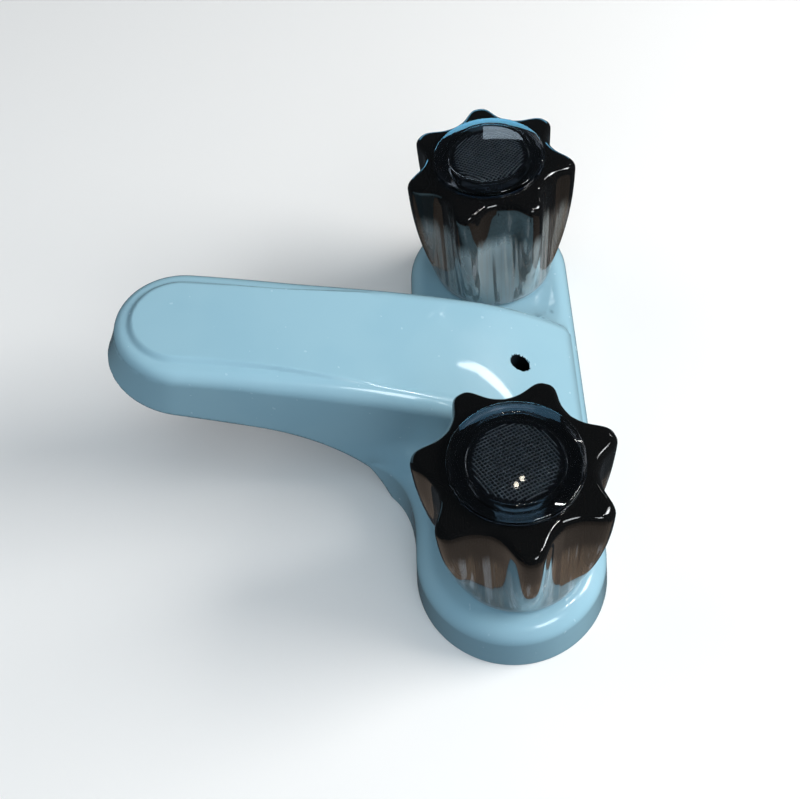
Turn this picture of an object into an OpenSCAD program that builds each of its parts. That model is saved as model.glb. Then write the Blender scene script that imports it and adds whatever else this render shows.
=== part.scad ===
// Two-handle bathroom sink faucet: a one-piece moulded shell with an integral rising
// spout, two lobed smoke acrylic handles, and the brass waterway that the shell covers.
// X runs along the handle line, the spout points to -Y, and Z = 0 is the sink deck,
// midway between the two handle axes. Millimetres.

/* [Handle centres] */
// Distance between the two handle axes
handle_spacing = 101.6; // [92:0.2:116]

/* [Base] */
// Radius of the base's rounded ends at the deck
base_end_r = 26.5; // [24:0.5:30]
// Height of the base's flat top over the deck
base_h = 16.5; // [15:0.5:20]
// Radius of the rounding round the base's top edge
base_round = 5; // [3:0.5:7]
// How much the base's wall leans in from the deck to the rounding
base_draft = 0.9; // [0.2:0.1:1.6]
// How far the base's centre line lies in front of the handle axes
base_shift = 1.8; // [0:0.1:3]
// Wall of the moulded shell
shell_wall = 3; // [2:0.1:3.6]
// Plan radius of the fillets between the spout's sides and the base's front
root_fillet_r = 20; // [14:1:22]

/* [Spout] */
// Distance from the handle axes to the spout's tip
spout_reach = 108.6; // [104:0.2:116]
// Half width of the spout where its round tip starts
spout_tip_r = 18.6; // [18:0.1:21]
// How far the top of the spout's round tip lies behind its lower edge
tip_lean = 5; // [0:0.1:6]
// Half width of the spout on the line of the handle axes
spout_root_r = 21.9; // [20:0.1:23]
// Front-to-back place where the long front curve of the top meets the short rear curve
crown_y = -8; // [-12:0.5:-4]
// Height of the top there
crown_z = 36.4; // [35:0.2:40]
// Slope of the top there
crown_angle = 22.5; // [20:0.1:24]
// Radius of the long front curve, seen from the side
front_curve_r = 450; // [400:10:700]
// Radius of the short rear curve, seen from the side
rear_curve_r = 100; // [85:1:130]
// Radius of the rounding along the spout's top edges
spout_round = 3; // [2:0.1:3.6]
// Height of the raised panel over the border round it
panel_step = 1.2; // [0.4:0.1:2]
// Distance from the spout's side to the raised panel
panel_inset = 6.2; // [5:0.1:7.5]
// How much the spout's sides lean out towards the underside
spout_draft = 0.6; // [0:0.1:0.8]

/* [Underside] */
// Slope of the underside near the tip
under_angle = 21.8; // [19:0.1:23]
// Height of the underside below the centre of the round tip
under_tip_z = 42; // [41:0.1:43]
// Radius of the curve that brings the underside down to the deck
under_curve_r = 58.4; // [54:0.2:62]
// How far in front of the handle axes the underside's curve would turn upright
root_front = 33; // [31:0.2:35]
// Thickness of the underside cover
cover_t = 2.2; // [1.6:0.1:2.4]
// Gap between the underside cover and the shell, all round
cover_gap = 0.25; // [0.1:0.05:0.4]
// Distance from the handle axes to the two cover screws
cover_screw_y = 62; // [58:0.5:66]
// Distance of each cover screw from the spout's middle
cover_screw_x = 11.6; // [10.5:0.1:12]
// Radius of the bosses that take the cover screws
cover_boss_r = 3.4; // [2.8:0.1:3.6]
// Radius of a cover screw's shank
cover_screw_r = 1.3; // [1:0.1:1.6]

/* [Lift rod hole] */
// Radius of the hole for the pop-up waste's lift rod
rod_hole_r = 2.7; // [2.4:0.1:3.2]
// How far behind the handle axes the lift rod hole is
rod_hole_y = 4.9; // [4.6:0.1:6.5]
// Wall of the guide under the lift rod hole
rod_guide_wall = 1.8; // [1.2:0.1:2.4]
// Height of the guide's lower end over the deck
rod_guide_z = 17; // [16.2:0.2:22]

/* [Waterway] */
// Outer radius of the threaded shanks
shank_r = 10.45; // [10:0.05:10.8]
// Length of the shanks below the deck
shank_l = 50; // [46:1:70]
// Length of the free thread at the end of each shank
inlet_l = 22; // [14:1:22]
// Radius of the water passage in the shanks
supply_r = 4.2; // [3:0.1:4.6]
// Outer radius of the neck that carries the valve
neck_r = 11.4; // [11:0.05:12]
// Radius of the valve chamber
chamber_r = 8.5; // [8.3:0.05:8.9]
// Radius of the flange that stands on the gasket
flange_r = 16; // [14:0.5:18]
// Outer radius of the crossover tubes
cross_r = 4.6; // [4:0.1:4.6]
// Wall of the crossover tubes and of the spout tube
tube_wall = 1; // [0.6:0.1:1.4]
// How far in front of the handle axes the crossover tubes run
cross_y = 5; // [4.7:0.1:5.4]
// Outer radius of the spout tube
spout_tube_r = 4.25; // [3.6:0.05:4.3]

/* [Valves] */
// Radius of the stem in its bearing
stem_r = 5.5; // [5.2:0.05:5.7]
// Thickness of the stem's port disc
disc_t = 3; // [2.4:0.1:3.6]
// Radius of the rubber seat
seat_r = 3.15; // [2.6:0.05:3.4]
// Distance of the seat from the handle's axis
seat_offset = 4.2; // [3.8:0.05:4.6]
// Length of the seat
seat_l = 4.7; // [3.5:0.1:5.2]
// Quarter turn between closed and fully open
turn_angle = 90; // [80:1:100]
// Width of the stem's stop lug, as an angle
lug_angle = 30; // [20:1:40]
// Width of the bonnet nut across its flats
nut_af = 26; // [25:0.1:26.6]
// Number of teeth on the stem's spline
spline_teeth = 20; // [14:1:24]

/* [Handles] */
// Distance from a handle's axis to the tips of its lobes
lobe_tip_r = 24.8; // [23:0.1:28]
// Distance from a handle's axis to the valleys between the lobes, at the top
valley_r = 18.6; // [17.6:0.1:19.4]
// Radius of the handle's skirt at its lower edge
skirt_r = 18.9; // [18.4:0.1:20]
// Number of lobes
lobes = 7; // [5:1:9]
// Half width of a lobe, as an angle
lobe_half_angle = 10.8; // [8:0.1:12.5]
// Height of the skirt's lower edge over the base's top
skirt_gap = 1; // [0.6:0.1:2]
// Height of the handle from its lower edge to the top, without the cap
handle_h = 43.3; // [42:0.1:50]
// How much the handle's top slopes down from the cap to the lobe tips
top_slope_drop = 0.8; // [0.5:0.1:2]
// Radius of the hollow in the skirt at its lower edge
hollow_r = 16.2; // [15.9:0.1:16.4]
// Thickness of the solid top, from the hollow's ceiling to the handle's top
solid_top = 14.8; // [13:0.1:16]
// Rotation of the hot handle's lobes when it is closed
hot_lobe_phase = 29.7; // [0:0.1:51]
// Rotation of the cold handle's lobes when it is closed
cold_lobe_phase = 4; // [0:0.1:51]

/* [Caps] */
// Radius of the index cap's rim
cap_r = 16; // [15.6:0.1:17]
// Height of the cap's rim
cap_rim_h = 1.7; // [1.2:0.1:2.4]
// Height of the cap's bevel and dome over its rim
cap_dome_h = 1.7; // [1:0.1:2.4]
// Radius of the knurled disc under the cap
disc_r = 11; // [9:0.1:11.4]

/* [Mounting] */
// Thickness of the base gasket
gasket_t = 2; // [1.5:0.1:2.3]
// Thickness of the sink deck that the mounting nuts clamp
deck_t = 13; // [6:0.5:13]
// Radius of the mounting washers
washer_r = 19; // [17:0.5:22]
// Thickness of the mounting washers
washer_t = 2; // [1:0.1:2]
// Radius of a mounting nut without its wings
lock_nut_r = 15; // [14:0.5:17]
// Height of a mounting nut
lock_nut_h = 10; // [7:0.5:10]

/* [Outlet] */
// Radius of the outlet elbow
elbow_r = 10.4; // [10:0.05:10.6]
// Radius of the aerator's screwed-on body
aerator_r = 11.8; // [11:0.1:12.4]
// Height of the aerator's body below the outlet boss
aerator_h = 5; // [4:0.1:6]
// Radius of the water passage through the aerator
aerator_bore_r = 7.4; // [6.5:0.1:7.6]
// How far the outlet boss reaches below the underside at the outlet's centre
boss_drop = 5; // [4.9:0.1:5.6]

/* [Hidden] */

$fn = 64;
HOT = -1;
COLD = 1;
// Overshoot of a cutting shape past the face that it cuts
past = 1;
// Radial clearance of parts that are pushed or screwed together
push_fit = 0.05;
// Radial clearance of the stem in its sleeve
run_fit = 0.05;
// Least distance kept round the port disc and other loose inner pieces
slack = 0.2;

handle_x = handle_spacing / 2;
tip_centre_y = spout_tip_r - spout_reach;
inner_tip_r = spout_tip_r - shell_wall;
shell_hole_r = neck_r + 0.3;

// Heights of the stack on each handle axis
disc_rise = 1.3;
disc_z = gasket_t + disc_rise;
chamber_floor_z = disc_z - 0.3;
cross_gap = 0.4;
cross_z = base_h - shell_wall - cross_gap - cross_r;
sleeve_z = cross_z + cross_r - 0.6;
nut_z = base_h + 0.05;
neck_rise = 8.5;
neck_top_z = base_h + neck_rise;
sleeve_flange_t = 2;
lip_z = neck_top_z + sleeve_flange_t + push_fit;
stop_h = 2;
lip_t = 2.25;
nut_top_z = lip_z + lip_t;
skirt_z = base_h + skirt_gap;
handle_top_z = skirt_z + handle_h;
hollow_top_z = handle_top_z - solid_top;
hub_gap = 1.7;
hub_z = nut_top_z + hub_gap;
web_t = 4;
screw_seat_z = hollow_top_z + web_t;
recess_depth = 3.8;
recess_z = handle_top_z - recess_depth;
stem_gap = 1.5;
stem_top_z = hollow_top_z - stem_gap;

// Radii of the stack on each handle axis
sleeve_r = chamber_r - 0.1;
sleeve_flange_r = neck_r - 0.6;
stop_r = chamber_r - 0.7;
lug_r = stop_r - 0.2;
lip_r = stop_r + 0.4;
spline_r = stem_r - 1;
insert_r = spline_r + 1.9;
hub_r = insert_r + 2.6;
recess_r = cap_r - 1;
screw_r = 1.95;
screw_head_r = 4.2;
screw_reach = 10;
screw_pocket_r = 5;

// Centre of the underside's curve, which is tangent to the underside's straight slope
under_centre_y = -root_front - under_curve_r;
under_centre_z = under_line(under_centre_y) - under_curve_r / cos(under_angle);
under_tangent_y = under_centre_y + under_curve_r * sin(under_angle);
under_deck_y = under_centre_y + sqrt(pow(under_curve_r, 2) - pow(under_centre_z, 2));
cover_deck_y = under_centre_y + sqrt(pow(under_curve_r + cover_t, 2) - pow(under_centre_z, 2));

// Outlet at the centre of the round tip
outlet_y = tip_centre_y + 1;
boss_z = under_line(outlet_y) - boss_drop;
roof_t = 4;
elbow_top_z = top_z(outlet_y + elbow_r) - roof_t - 0.3;
thread_l = 4.5;
thread_r = elbow_r - 1.4;
// Slope of the spout tube, whose axis meets the outlet's axis this far over the boss
tube_rise = 15.6;
spout_tube_angle = atan((boss_z + tube_rise - cross_z) / (-outlet_y - cross_y));

// Places in the spout's length
back_slope = acos(cos(crown_angle) - (crown_z - base_h) / rear_curve_r);
spout_back_y = crown_y + rear_curve_r * (sin(back_slope) - sin(crown_angle));

function under_line(y) = under_tip_z + (tip_centre_y - y) * tan(under_angle);

// Height of the underside at a place along the spout, 0 where it stands on the deck
function under_z(y) = y <= under_tangent_y ? under_line(y)
    : y < under_deck_y ? under_centre_z + sqrt(pow(under_curve_r, 2) - pow(y - under_centre_y, 2))
    : 0;

// Height of the spout's top on its middle line
function top_slope_sine(y) = sin(crown_angle) + (y - crown_y) / (y < crown_y ? front_curve_r : rear_curve_r);
function top_z(y) = crown_z + (y < crown_y ? front_curve_r : rear_curve_r)
    * (sqrt(1 - pow(top_slope_sine(y), 2)) - cos(crown_angle));

// Half width of the spout's side, which widens steadily towards the back
function half_w(y) = spout_tip_r
    + (spout_root_r - spout_tip_r) * pow((y - tip_centre_y) / -tip_centre_y, 2);

// Plan outline of the spout, from the back on the hot side round the tip to the cold side
tip_steps = 19;
deck_bend_l = 11;
function side_ys(back_y, tip_y) =
    let (start_y = under_deck_y + 1, bend_y = under_deck_y - deck_bend_l) concat(
    [for (i = [0 : 8]) back_y + (start_y - back_y) * i / 9],
    [for (i = [0 : 7]) start_y + (bend_y - start_y) * i / 8],
    [for (i = [0 : 14]) bend_y + (tip_y - bend_y) * i / 14]);
function outline(inset, back_y, lean = 0) =
    let (tip_y = tip_centre_y + lean, tip_r = half_w(tip_y) - inset, ys = side_ys(back_y, tip_y))
    concat([for (y = ys) [inset - half_w(y), y]],
        [for (i = [1 : tip_steps - 1]) let (a = 180 * i / tip_steps)
            [-tip_r * cos(a), tip_y - tip_r * sin(a)]],
        [for (i = [len(ys) - 1 : -1 : 0]) [half_w(ys[i]) - inset, ys[i]]]);

// Solid between stacked rings of points, closed by strips across its floor and its top
module ring_stack(rings) {
    n = len(rings[0]);
    k = len(rings);
    half = floor(n / 2);
    walls = [for (j = [0 : k - 2], i = [0 : n - 1]) let (a = j * n + i, b = j * n + (i + 1) % n)
        each [[a, a + n, b], [b, a + n, b + n]]];
    function strip(base, up) = [for (i = [0 : half - 2])
        let (a = base + i, b = base + i + 1, c = base + n - 2 - i, d = base + n - 1 - i)
        each up ? [[a, d, b], [b, d, c]] : [[a, b, d], [b, c, d]]];
    polyhedron(points = [for (ring = rings) each ring],
        faces = concat(walls, strip(0, false), strip((k - 1) * n, true)));
}

// Rings of the spout's outside: floor, side wall, rounding, border and raised panel
round_steps = 4;
panel_fade_y = -36;
function panel_share(y) = 1 - min(1, max(0, (y - panel_fade_y) / 24));
function outer_levels() = concat(
    [for (i = [0 : round_steps]) let (a = 90 * i / round_steps)
        [spout_round * (1 - cos(a)), panel_step + 0.4 + spout_round * (1 - sin(a))]],
    [[panel_inset - 1.2, panel_step], [panel_inset, 0]]);
function level_ring(inset, drop) = [for (p = outline(inset, spout_back_y, tip_lean))
    [p[0], p[1], top_z(p[1]) - drop + (drop > 0 ? 0.95 * panel_step * (1 - panel_share(p[1])) : 0)]];
module spout_form() {
    floor_ring = [for (p = outline(-spout_draft, spout_back_y)) [p[0], p[1], under_z(p[1])
        - (p[1] > under_deck_y ? past : 0)]];
    ring_stack(concat([floor_ring], [for (l = outer_levels()) level_ring(l[0], l[1])]));
}

// Hollow of the spout, open through the underside, drawn in by a gap for what fills it
hollow_back_y = spout_back_y - shell_wall - 2;
module spout_hollow(gap = 0) {
    inner_levels = [[shell_wall, roof_t + 3], [shell_wall + 1.2, roof_t + 0.8], [shell_wall + 3.4, roof_t]];
    floor_ring = [for (p = outline(shell_wall - spout_draft + gap, hollow_back_y))
        [p[0], p[1], under_z(p[1]) - 2 * past]];
    ring_stack(concat([floor_ring], [for (l = inner_levels)
        [for (p = outline(l[0] + gap, hollow_back_y, tip_lean)) [p[0], p[1], top_z(p[1]) - l[1]]]]));
}

// Cross-section of the base from its middle plane outwards, drawn in by a wall
function base_section(inset, floor_z) = concat(
    [[0, floor_z], [base_end_r - inset, floor_z]],
    [for (i = [0 : 6]) let (a = 15 * i, r = max(0.5, base_round - inset))
        [base_end_r - base_draft - inset - r * (1 - cos(a)), base_h - inset - r * (1 - sin(a))]],
    [[0, base_h - inset]]);
module base_form(inset, floor_z) {
    section = base_section(inset, floor_z);
    translate([0, -base_shift, 0]) {
        for (side = [HOT, COLD])
            translate([side * handle_x, 0, 0])
                rotate_extrude($fn = 96) polygon(section);
        for (flip = [0, 1])
            mirror([0, flip, 0])
                translate([-handle_x, 0, 0])
                    rotate([90, 0, 90])
                        linear_extrude(2 * handle_x) polygon(section);
    }
}

// Web that fills the corner between the spout's side and the base's front
web_h = base_h - base_round + 1;
function front_wall_y() = -base_shift - base_end_r + base_draft;
module root_web(side) {
    y0 = front_wall_y() + 3;
    arc_y = front_wall_y() - root_fillet_r;
    arc_x = half_w(arc_y) + spout_draft / 2 + root_fillet_r;
    x0 = half_w(arc_y) - 2;
    points = concat([[x0, y0], [x0, arc_y]],
        [for (i = [0 : 10]) let (a = 180 - 9 * i)
            [arc_x + root_fillet_r * cos(a), arc_y + root_fillet_r * sin(a)]],
        [[arc_x, y0]]);
    intersection() {
        scale([side, 1, 1]) linear_extrude(web_h) polygon(points);
        under_side_prism(2 * arc_x, 0, 2 * base_h);
    }
}

// Prism across the spout whose lower face is the underside, raised by a depth
function under_curve(depth) = concat(
    [let (y = -spout_reach - past) [y, under_line(y) + depth / cos(under_angle)]],
    [for (i = [0 : 16]) let (a = under_angle + (deck_angle(depth) - under_angle) * i / 16)
        [under_centre_y + (under_curve_r + depth) * sin(a),
         under_centre_z + (under_curve_r + depth) * cos(a)]]);
function deck_angle(depth) = acos(-under_centre_z / (under_curve_r + depth));
module under_side_prism(width, depth, height) {
    points = concat(under_curve(depth), [[base_end_r, 0], [base_end_r, height],
        [-spout_reach - past, height + spout_reach]]);
    translate([-width / 2, 0, 0]) rotate([90, 0, 90]) linear_extrude(width) polygon(points);
}

module body_shell() color("#a9d0de") difference() {
    union() {
        difference() {
            union() {
                base_form(0, 0);
                spout_form();
                for (side = [HOT, COLD]) root_web(side);
            }
            base_form(shell_wall, -past);
            spout_hollow();
        }
        // Guide under the lift rod hole
        translate([0, rod_hole_y, rod_guide_z])
            cylinder(h = top_z(rod_hole_y) - roof_t / 2 - rod_guide_z, r = rod_hole_r + rod_guide_wall);
        // Bosses for the cover screws
        for (side = [HOT, COLD])
            translate([side * cover_screw_x, -cover_screw_y, boss_foot_z()])
                cylinder(h = top_z(-cover_screw_y) - roof_t / 2 - boss_foot_z(), r = cover_boss_r);
    }
    translate([0, 0, -4 * past]) linear_extrude(4 * past) square(4 * spout_reach, center = true);
    for (side = [HOT, COLD]) {
        translate([side * handle_x, 0, 0]) cylinder(h = base_h + past, r = shell_hole_r);
        translate([side * cover_screw_x, -cover_screw_y, 0])
            cylinder(h = boss_foot_z() + cover_screw_l, r = cover_screw_r + push_fit);
    }
    translate([0, rod_hole_y, 0]) cylinder(h = crown_z, r = rod_hole_r);
}

// Lower end of the screw bosses, which rests on the cover's inner face
cover_screw_l = 9;
function cover_top_z(y) = under_centre_z
    + sqrt(pow(under_curve_r + cover_t, 2) - pow(y - under_centre_y, 2));
function boss_foot_z() = cover_top_z(-cover_screw_y - cover_boss_r) + 0.1;

module underside_cover() color("#9cc4d3") difference() {
    union() {
        intersection() {
            spout_hollow(cover_gap);
            difference() {
                under_side_prism(4 * spout_tip_r, 0, base_h);
                under_side_prism(6 * spout_tip_r, cover_t, 2 * base_h);
            }
        }
        translate([0, outlet_y, boss_z])
            cylinder(h = under_line(outlet_y) - boss_z + 1, r = elbow_r + push_fit + 1.6);
    }
    translate([0, outlet_y, boss_z - past]) cylinder(h = 4 * elbow_r, r = elbow_r + push_fit);
    // Channel that clears the spout tube and its socket on the elbow
    along_spout_tube() translate([0, 0, tee_spout_l + past])
        cylinder(h = spout_reach, r = spout_tube_r + elbow_socket_wall + 0.2);
    for (side = [HOT, COLD])
        translate([side * cover_screw_x, -cover_screw_y, 0]) {
            cylinder(h = boss_foot_z() + past, r = cover_screw_r + 0.2);
            cylinder(h = screw_head_floor_z(), r = cover_screw_r + 1.2);
        }
}

// The cover screws' heads sink into flat-bottomed pockets in the underside
function screw_head_floor_z() = boss_foot_z() - 1.6;
module cover_screws() color("#b9bdc2")
    for (side = [HOT, COLD])
        translate([side * cover_screw_x, -cover_screw_y, screw_head_floor_z()]) difference() {
            union() {
                cylinder(h = cover_screw_l, r = cover_screw_r);
                translate([0, 0, -1.4]) cylinder(h = 1.4, r = cover_screw_r + 1);
            }
            translate([0, 0, -1.4 - past]) phillips_slot(0.5, 1.6, 0.9 + past);
        }

module phillips_slot(width, length, depth)
    for (turn = [0, 90])
        rotate([0, 0, turn]) translate([-length / 2, -width / 2, 0]) cube([length, width, depth]);

module base_gasket() color("#3a3d40") difference() {
    intersection() {
        union() {
            base_form(shell_wall + cover_gap, 0);
            linear_extrude(gasket_t) polygon([for (p = outline(shell_wall + 2 * cover_gap, 0))
                [p[0], max(p[1], cover_deck_y + 2 * cover_gap)]]);
        }
        linear_extrude(gasket_t) square(4 * spout_reach, center = true);
    }
    for (side = [HOT, COLD])
        translate([side * handle_x, 0, -past]) cylinder(h = gasket_t + 2 * past, r = shank_r + 0.35);
    translate([0, rod_hole_y, -past]) cylinder(h = gasket_t + 2 * past, r = rod_hole_r + 1);
    // Relief under the tee, which touches the gasket only where the base is lower
    translate([-tee_half - past, -cross_y, cross_z]) rotate([0, 90, 0])
        cylinder(h = 2 * (tee_half + past), r = cross_r + socket_wall + slack);
}

// Valve housing of one side: inlet shank, flange, neck and chamber in one brass piece
groove_w = 2;
groove_depth = 0.9;
module end_body(side) color("#c5a253") translate([side * handle_x, 0, 0]) difference() {
    union() {
        translate([0, 0, -shank_l]) cylinder(h = shank_l + gasket_t, r = shank_r);
        translate([0, 0, gasket_t]) cylinder(h = 3, r = flange_r);
        translate([0, 0, gasket_t]) cylinder(h = neck_top_z - gasket_t, r = neck_r);
    }
    translate([0, 0, inlet_l - shank_l]) difference() {
        cylinder(h = groove_w, r = shank_r + past);
        translate([0, 0, -past]) cylinder(h = groove_w + 2 * past, r = shank_r - groove_depth);
    }
    translate([0, 0, -shank_l - past])
        cylinder(h = shank_l + past + spring_floor_z(), r = supply_r);
    translate([side * seat_offset, 0, spring_floor_z() - past])
        cylinder(h = chamber_floor_z - spring_floor_z() + 2 * past, r = seat_r + slack);
    translate([0, 0, chamber_floor_z]) cylinder(h = neck_top_z, r = chamber_r);
    translate([0, -cross_y, cross_z]) rotate([0, -90 * side, 0])
        cylinder(h = flange_r + past, r = cross_r + push_fit);
}

// Spring and rubber seat in the pocket under the port disc
spring_h = 6.4;
function seat_foot_z() = disc_z - 0.05 - seat_l;
function spring_floor_z() = seat_foot_z() - spring_h;

module seat(side) color("#26282a")
    translate([side * (handle_x + seat_offset), 0, seat_foot_z()]) difference() {
        cylinder(h = seat_l, r = seat_r);
        translate([0, 0, -past]) cylinder(h = seat_l + 2 * past, r = seat_r / 2);
    }

// Coil of round wire as one unbroken tube with flat-cut ends
coil_turns = 4;
coil_wire_r = 0.35;
coil_rings = 8;
coil_sides = 6;
module coil(radius, height) {
    rise = height - 2 * coil_wire_r - 0.1;
    n = coil_turns * coil_rings;
    points = [for (i = [0 : n], j = [0 : coil_sides - 1])
        let (a = 360 * i / coil_rings, b = 360 * j / coil_sides, r = radius + coil_wire_r * cos(b))
        [r * cos(a), r * sin(a), 0.05 + coil_wire_r + rise * i / n + coil_wire_r * sin(b)]];
    sides = [for (i = [0 : n - 1], j = [0 : coil_sides - 1])
        let (a = i * coil_sides + j, b = i * coil_sides + (j + 1) % coil_sides)
        each [[a, b, a + coil_sides], [b, b + coil_sides, a + coil_sides]]];
    start = [for (j = [1 : coil_sides - 2]) [0, j + 1, j]];
    end = [for (j = [1 : coil_sides - 2]) [n * coil_sides, n * coil_sides + j, n * coil_sides + j + 1]];
    polyhedron(points = points, faces = concat(sides, start, end));
}
module seat_spring(side) color("#b9bdc2")
    translate([side * (handle_x + seat_offset), 0, spring_floor_z()])
        coil(seat_r - coil_wire_r - 0.1, spring_h);

// Crossover: a tube from each valve chamber to the tee, and the tube up the spout
tee_half = 14;
tube_stop = 5;
module crossover_tube(side) color("#b87345")
    translate([side * tube_stop, -cross_y, cross_z]) rotate([0, 90 * side, 0]) difference() {
        cylinder(h = handle_x - chamber_r - 0.3 - tube_stop, r = cross_r);
        translate([0, 0, -past]) cylinder(h = handle_x, r = cross_r - tube_wall);
    }

socket_wall = 1.3;
socket_l = 9;
tee_spout_l = 18;
module along_spout_tube() translate([0, -cross_y, cross_z]) rotate([90 - spout_tube_angle, 0, 0]) children();

module mixing_tee() color("#c5a253") difference() {
    union() {
        translate([-tee_half, -cross_y, cross_z]) rotate([0, 90, 0])
            cylinder(h = 2 * tee_half, r = cross_r + socket_wall);
        along_spout_tube() cylinder(h = tee_spout_l, r = spout_tube_r + socket_wall);
    }
    for (side = [HOT, COLD])
        translate([side * tube_stop, -cross_y, cross_z]) rotate([0, 90 * side, 0])
            cylinder(h = tee_half, r = cross_r + push_fit);
    translate([-tube_stop - past, -cross_y, cross_z]) rotate([0, 90, 0])
        cylinder(h = 2 * (tube_stop + past), r = cross_r - tube_wall);
    along_spout_tube() cylinder(h = tee_spout_l, r = spout_tube_r - tube_wall);
    along_spout_tube() translate([0, 0, tee_spout_l - socket_l])
        cylinder(h = socket_l + past, r = spout_tube_r + push_fit);
}

// Length along the spout tube's axis to the wall of the elbow's chamber
function tube_end_l() = (-outlet_y - cross_y - aerator_bore_r - 0.6) / cos(spout_tube_angle);
module spout_tube() color("#b87345") along_spout_tube() difference() {
    translate([0, 0, tee_spout_l - socket_l + push_fit])
        cylinder(h = tube_end_l() - tee_spout_l + socket_l, r = spout_tube_r);
    cylinder(h = 2 * spout_reach, r = spout_tube_r - tube_wall);
}

elbow_socket_wall = 1.15;
module outlet_elbow() color("#c5a253") difference() {
    union() {
        translate([0, outlet_y, boss_z]) cylinder(h = elbow_top_z - boss_z, r = elbow_r);
        along_spout_tube() translate([0, 0, tube_end_l() - socket_l])
            cylinder(h = socket_l, r = spout_tube_r + elbow_socket_wall);
    }
    translate([0, outlet_y, boss_z - past])
        cylinder(h = thread_l + past + washer_room, r = thread_r + push_fit);
    translate([0, outlet_y, boss_z]) cylinder(h = elbow_top_z - boss_z - 2, r = aerator_bore_r);
    along_spout_tube() translate([0, 0, tube_end_l() - socket_l - past])
        cylinder(h = socket_l + 3 * past, r = spout_tube_r + push_fit);
}

// Aerator: a housing screwed into the elbow, its washer, and the screen that it holds
washer_room = 1.6;
screen_t = 1.8;
module aerator_housing() color("#d9dde0") translate([0, outlet_y, boss_z]) difference() {
    union() {
        translate([0, 0, -aerator_h]) cylinder(h = aerator_h - 0.05, r = aerator_r);
        translate([0, 0, -past]) cylinder(h = thread_l + past, r = thread_r);
    }
    translate([0, 0, -aerator_h - past]) cylinder(h = 2 * aerator_h, r = aerator_bore_r - 1);
    translate([0, 0, -aerator_h + 1.2]) cylinder(h = 3 * aerator_h, r = aerator_bore_r);
}
module aerator_washer() color("#26282a") translate([0, outlet_y, boss_z + thread_l]) difference() {
    translate([0, 0, 0.05]) cylinder(h = washer_room - 0.1, r = thread_r - 0.1);
    cylinder(h = 2 * washer_room, r = aerator_bore_r);
}
screen_holes = 12;
module aerator_screen() color("#8f979c") translate([0, outlet_y, boss_z - aerator_h + 1.25]) difference() {
    cylinder(h = screen_t, r = aerator_bore_r - 0.05);
    for (i = [0 : screen_holes - 1])
        rotate([0, 0, 360 * i / screen_holes]) translate([aerator_bore_r * 0.62, 0, -past])
            cylinder(h = screen_t + 2 * past, r = 0.8, $fn = 16);
}

// Sleeve that guides the stem, with a ring at its top whose gap stops the handle
module cartridge_sleeve(side) color("#e9e7df") translate([side * handle_x, 0, 0]) {
    window = turn_angle + lug_angle + 2;
    difference() {
        union() {
            translate([0, 0, sleeve_z]) cylinder(h = neck_top_z - sleeve_z, r = sleeve_r);
            translate([0, 0, neck_top_z]) cylinder(h = sleeve_flange_t, r = sleeve_flange_r);
            translate([0, 0, neck_top_z + sleeve_flange_t - push_fit])
                rotate([0, 0, side == HOT ? turn_angle + lug_angle / 2 + 1 : lug_angle / 2 + 1])
                    rotate_extrude(angle = 360 - window)
                        translate([stem_r - 0.2, 0]) square([stop_r - stem_r + 0.2, stop_h + push_fit]);
        }
        translate([0, 0, sleeve_z - past]) cylinder(h = neck_top_z, r = stem_r + run_fit);
    }
}

module bonnet_nut(side) color("#c9cdd1") translate([side * handle_x, 0, 0]) difference() {
    translate([0, 0, nut_z]) cylinder(h = nut_top_z - nut_z, r = nut_af / 2 / cos(30), $fn = 6);
    translate([0, 0, nut_z - past]) cylinder(h = lip_z - nut_z + past, r = neck_r + push_fit);
    translate([0, 0, nut_z]) cylinder(h = nut_top_z, r = lip_r);
}

// Stem: port disc, bearing, stop lug, spline and the thread for the handle screw
seal_share = 0.45;
seal_wire_r = 0.575;
function seal_centre_z() = sleeve_z + seal_share * (neck_top_z - sleeve_z);
function seal_centre_r() = stem_r + run_fit - seal_wire_r - 0.02;
module stem(side) color("#d8c07a") translate([side * handle_x, 0, 0]) difference() {
    union() {
        translate([0, 0, disc_z]) cylinder(h = disc_t, r = chamber_r - slack);
        translate([0, 0, disc_z]) cylinder(h = nut_top_z - disc_z, r = stem_r);
        translate([0, 0, neck_top_z + sleeve_flange_t + 0.1])
            rotate([0, 0, -lug_angle / 2]) rotate_extrude(angle = lug_angle)
                translate([stem_r - 1, 0]) square([lug_r - stem_r + 1, stop_h - 0.2]);
        translate([0, 0, nut_top_z - past]) linear_extrude(stem_top_z - nut_top_z + past)
            polygon([for (i = [0 : 2 * spline_teeth - 1])
                let (a = 180 * i / spline_teeth, r = i % 2 == 0 ? spline_r : spline_r - 0.5)
                [r * cos(a), r * sin(a)]]);
    }
    translate([0, 0, seal_centre_z() - seal_wire_r - 0.03]) difference() {
        cylinder(h = 2 * seal_wire_r + 0.06, r = stem_r + past);
        translate([0, 0, -past])
            cylinder(h = 4 * past, r = seal_centre_r() - seal_wire_r - 0.02);
    }
    // The port lies a full turn short of the seat while the valve is closed
    rotate([0, 0, side == HOT ? 180 - turn_angle : turn_angle])
        translate([seat_offset, 0, disc_z - past]) cylinder(h = disc_t + 2 * past, r = seat_r / 2);
    translate([0, 0, stem_top_z - screw_reach - past])
        cylinder(h = screw_reach + 2 * past, r = screw_r + push_fit);
}

module stem_seal(side) color("#26282a") translate([side * handle_x, 0, seal_centre_z()])
    rotate_extrude() translate([seal_centre_r(), 0]) circle(r = seal_wire_r, $fn = 24);

module spline_insert(side) color("#e9e7df") translate([side * handle_x, 0, hub_z]) difference() {
    cylinder(h = hollow_top_z - hub_z - 0.1, r = insert_r);
    translate([0, 0, -past]) cylinder(h = hollow_top_z, r = spline_r + 0.08);
}

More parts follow.
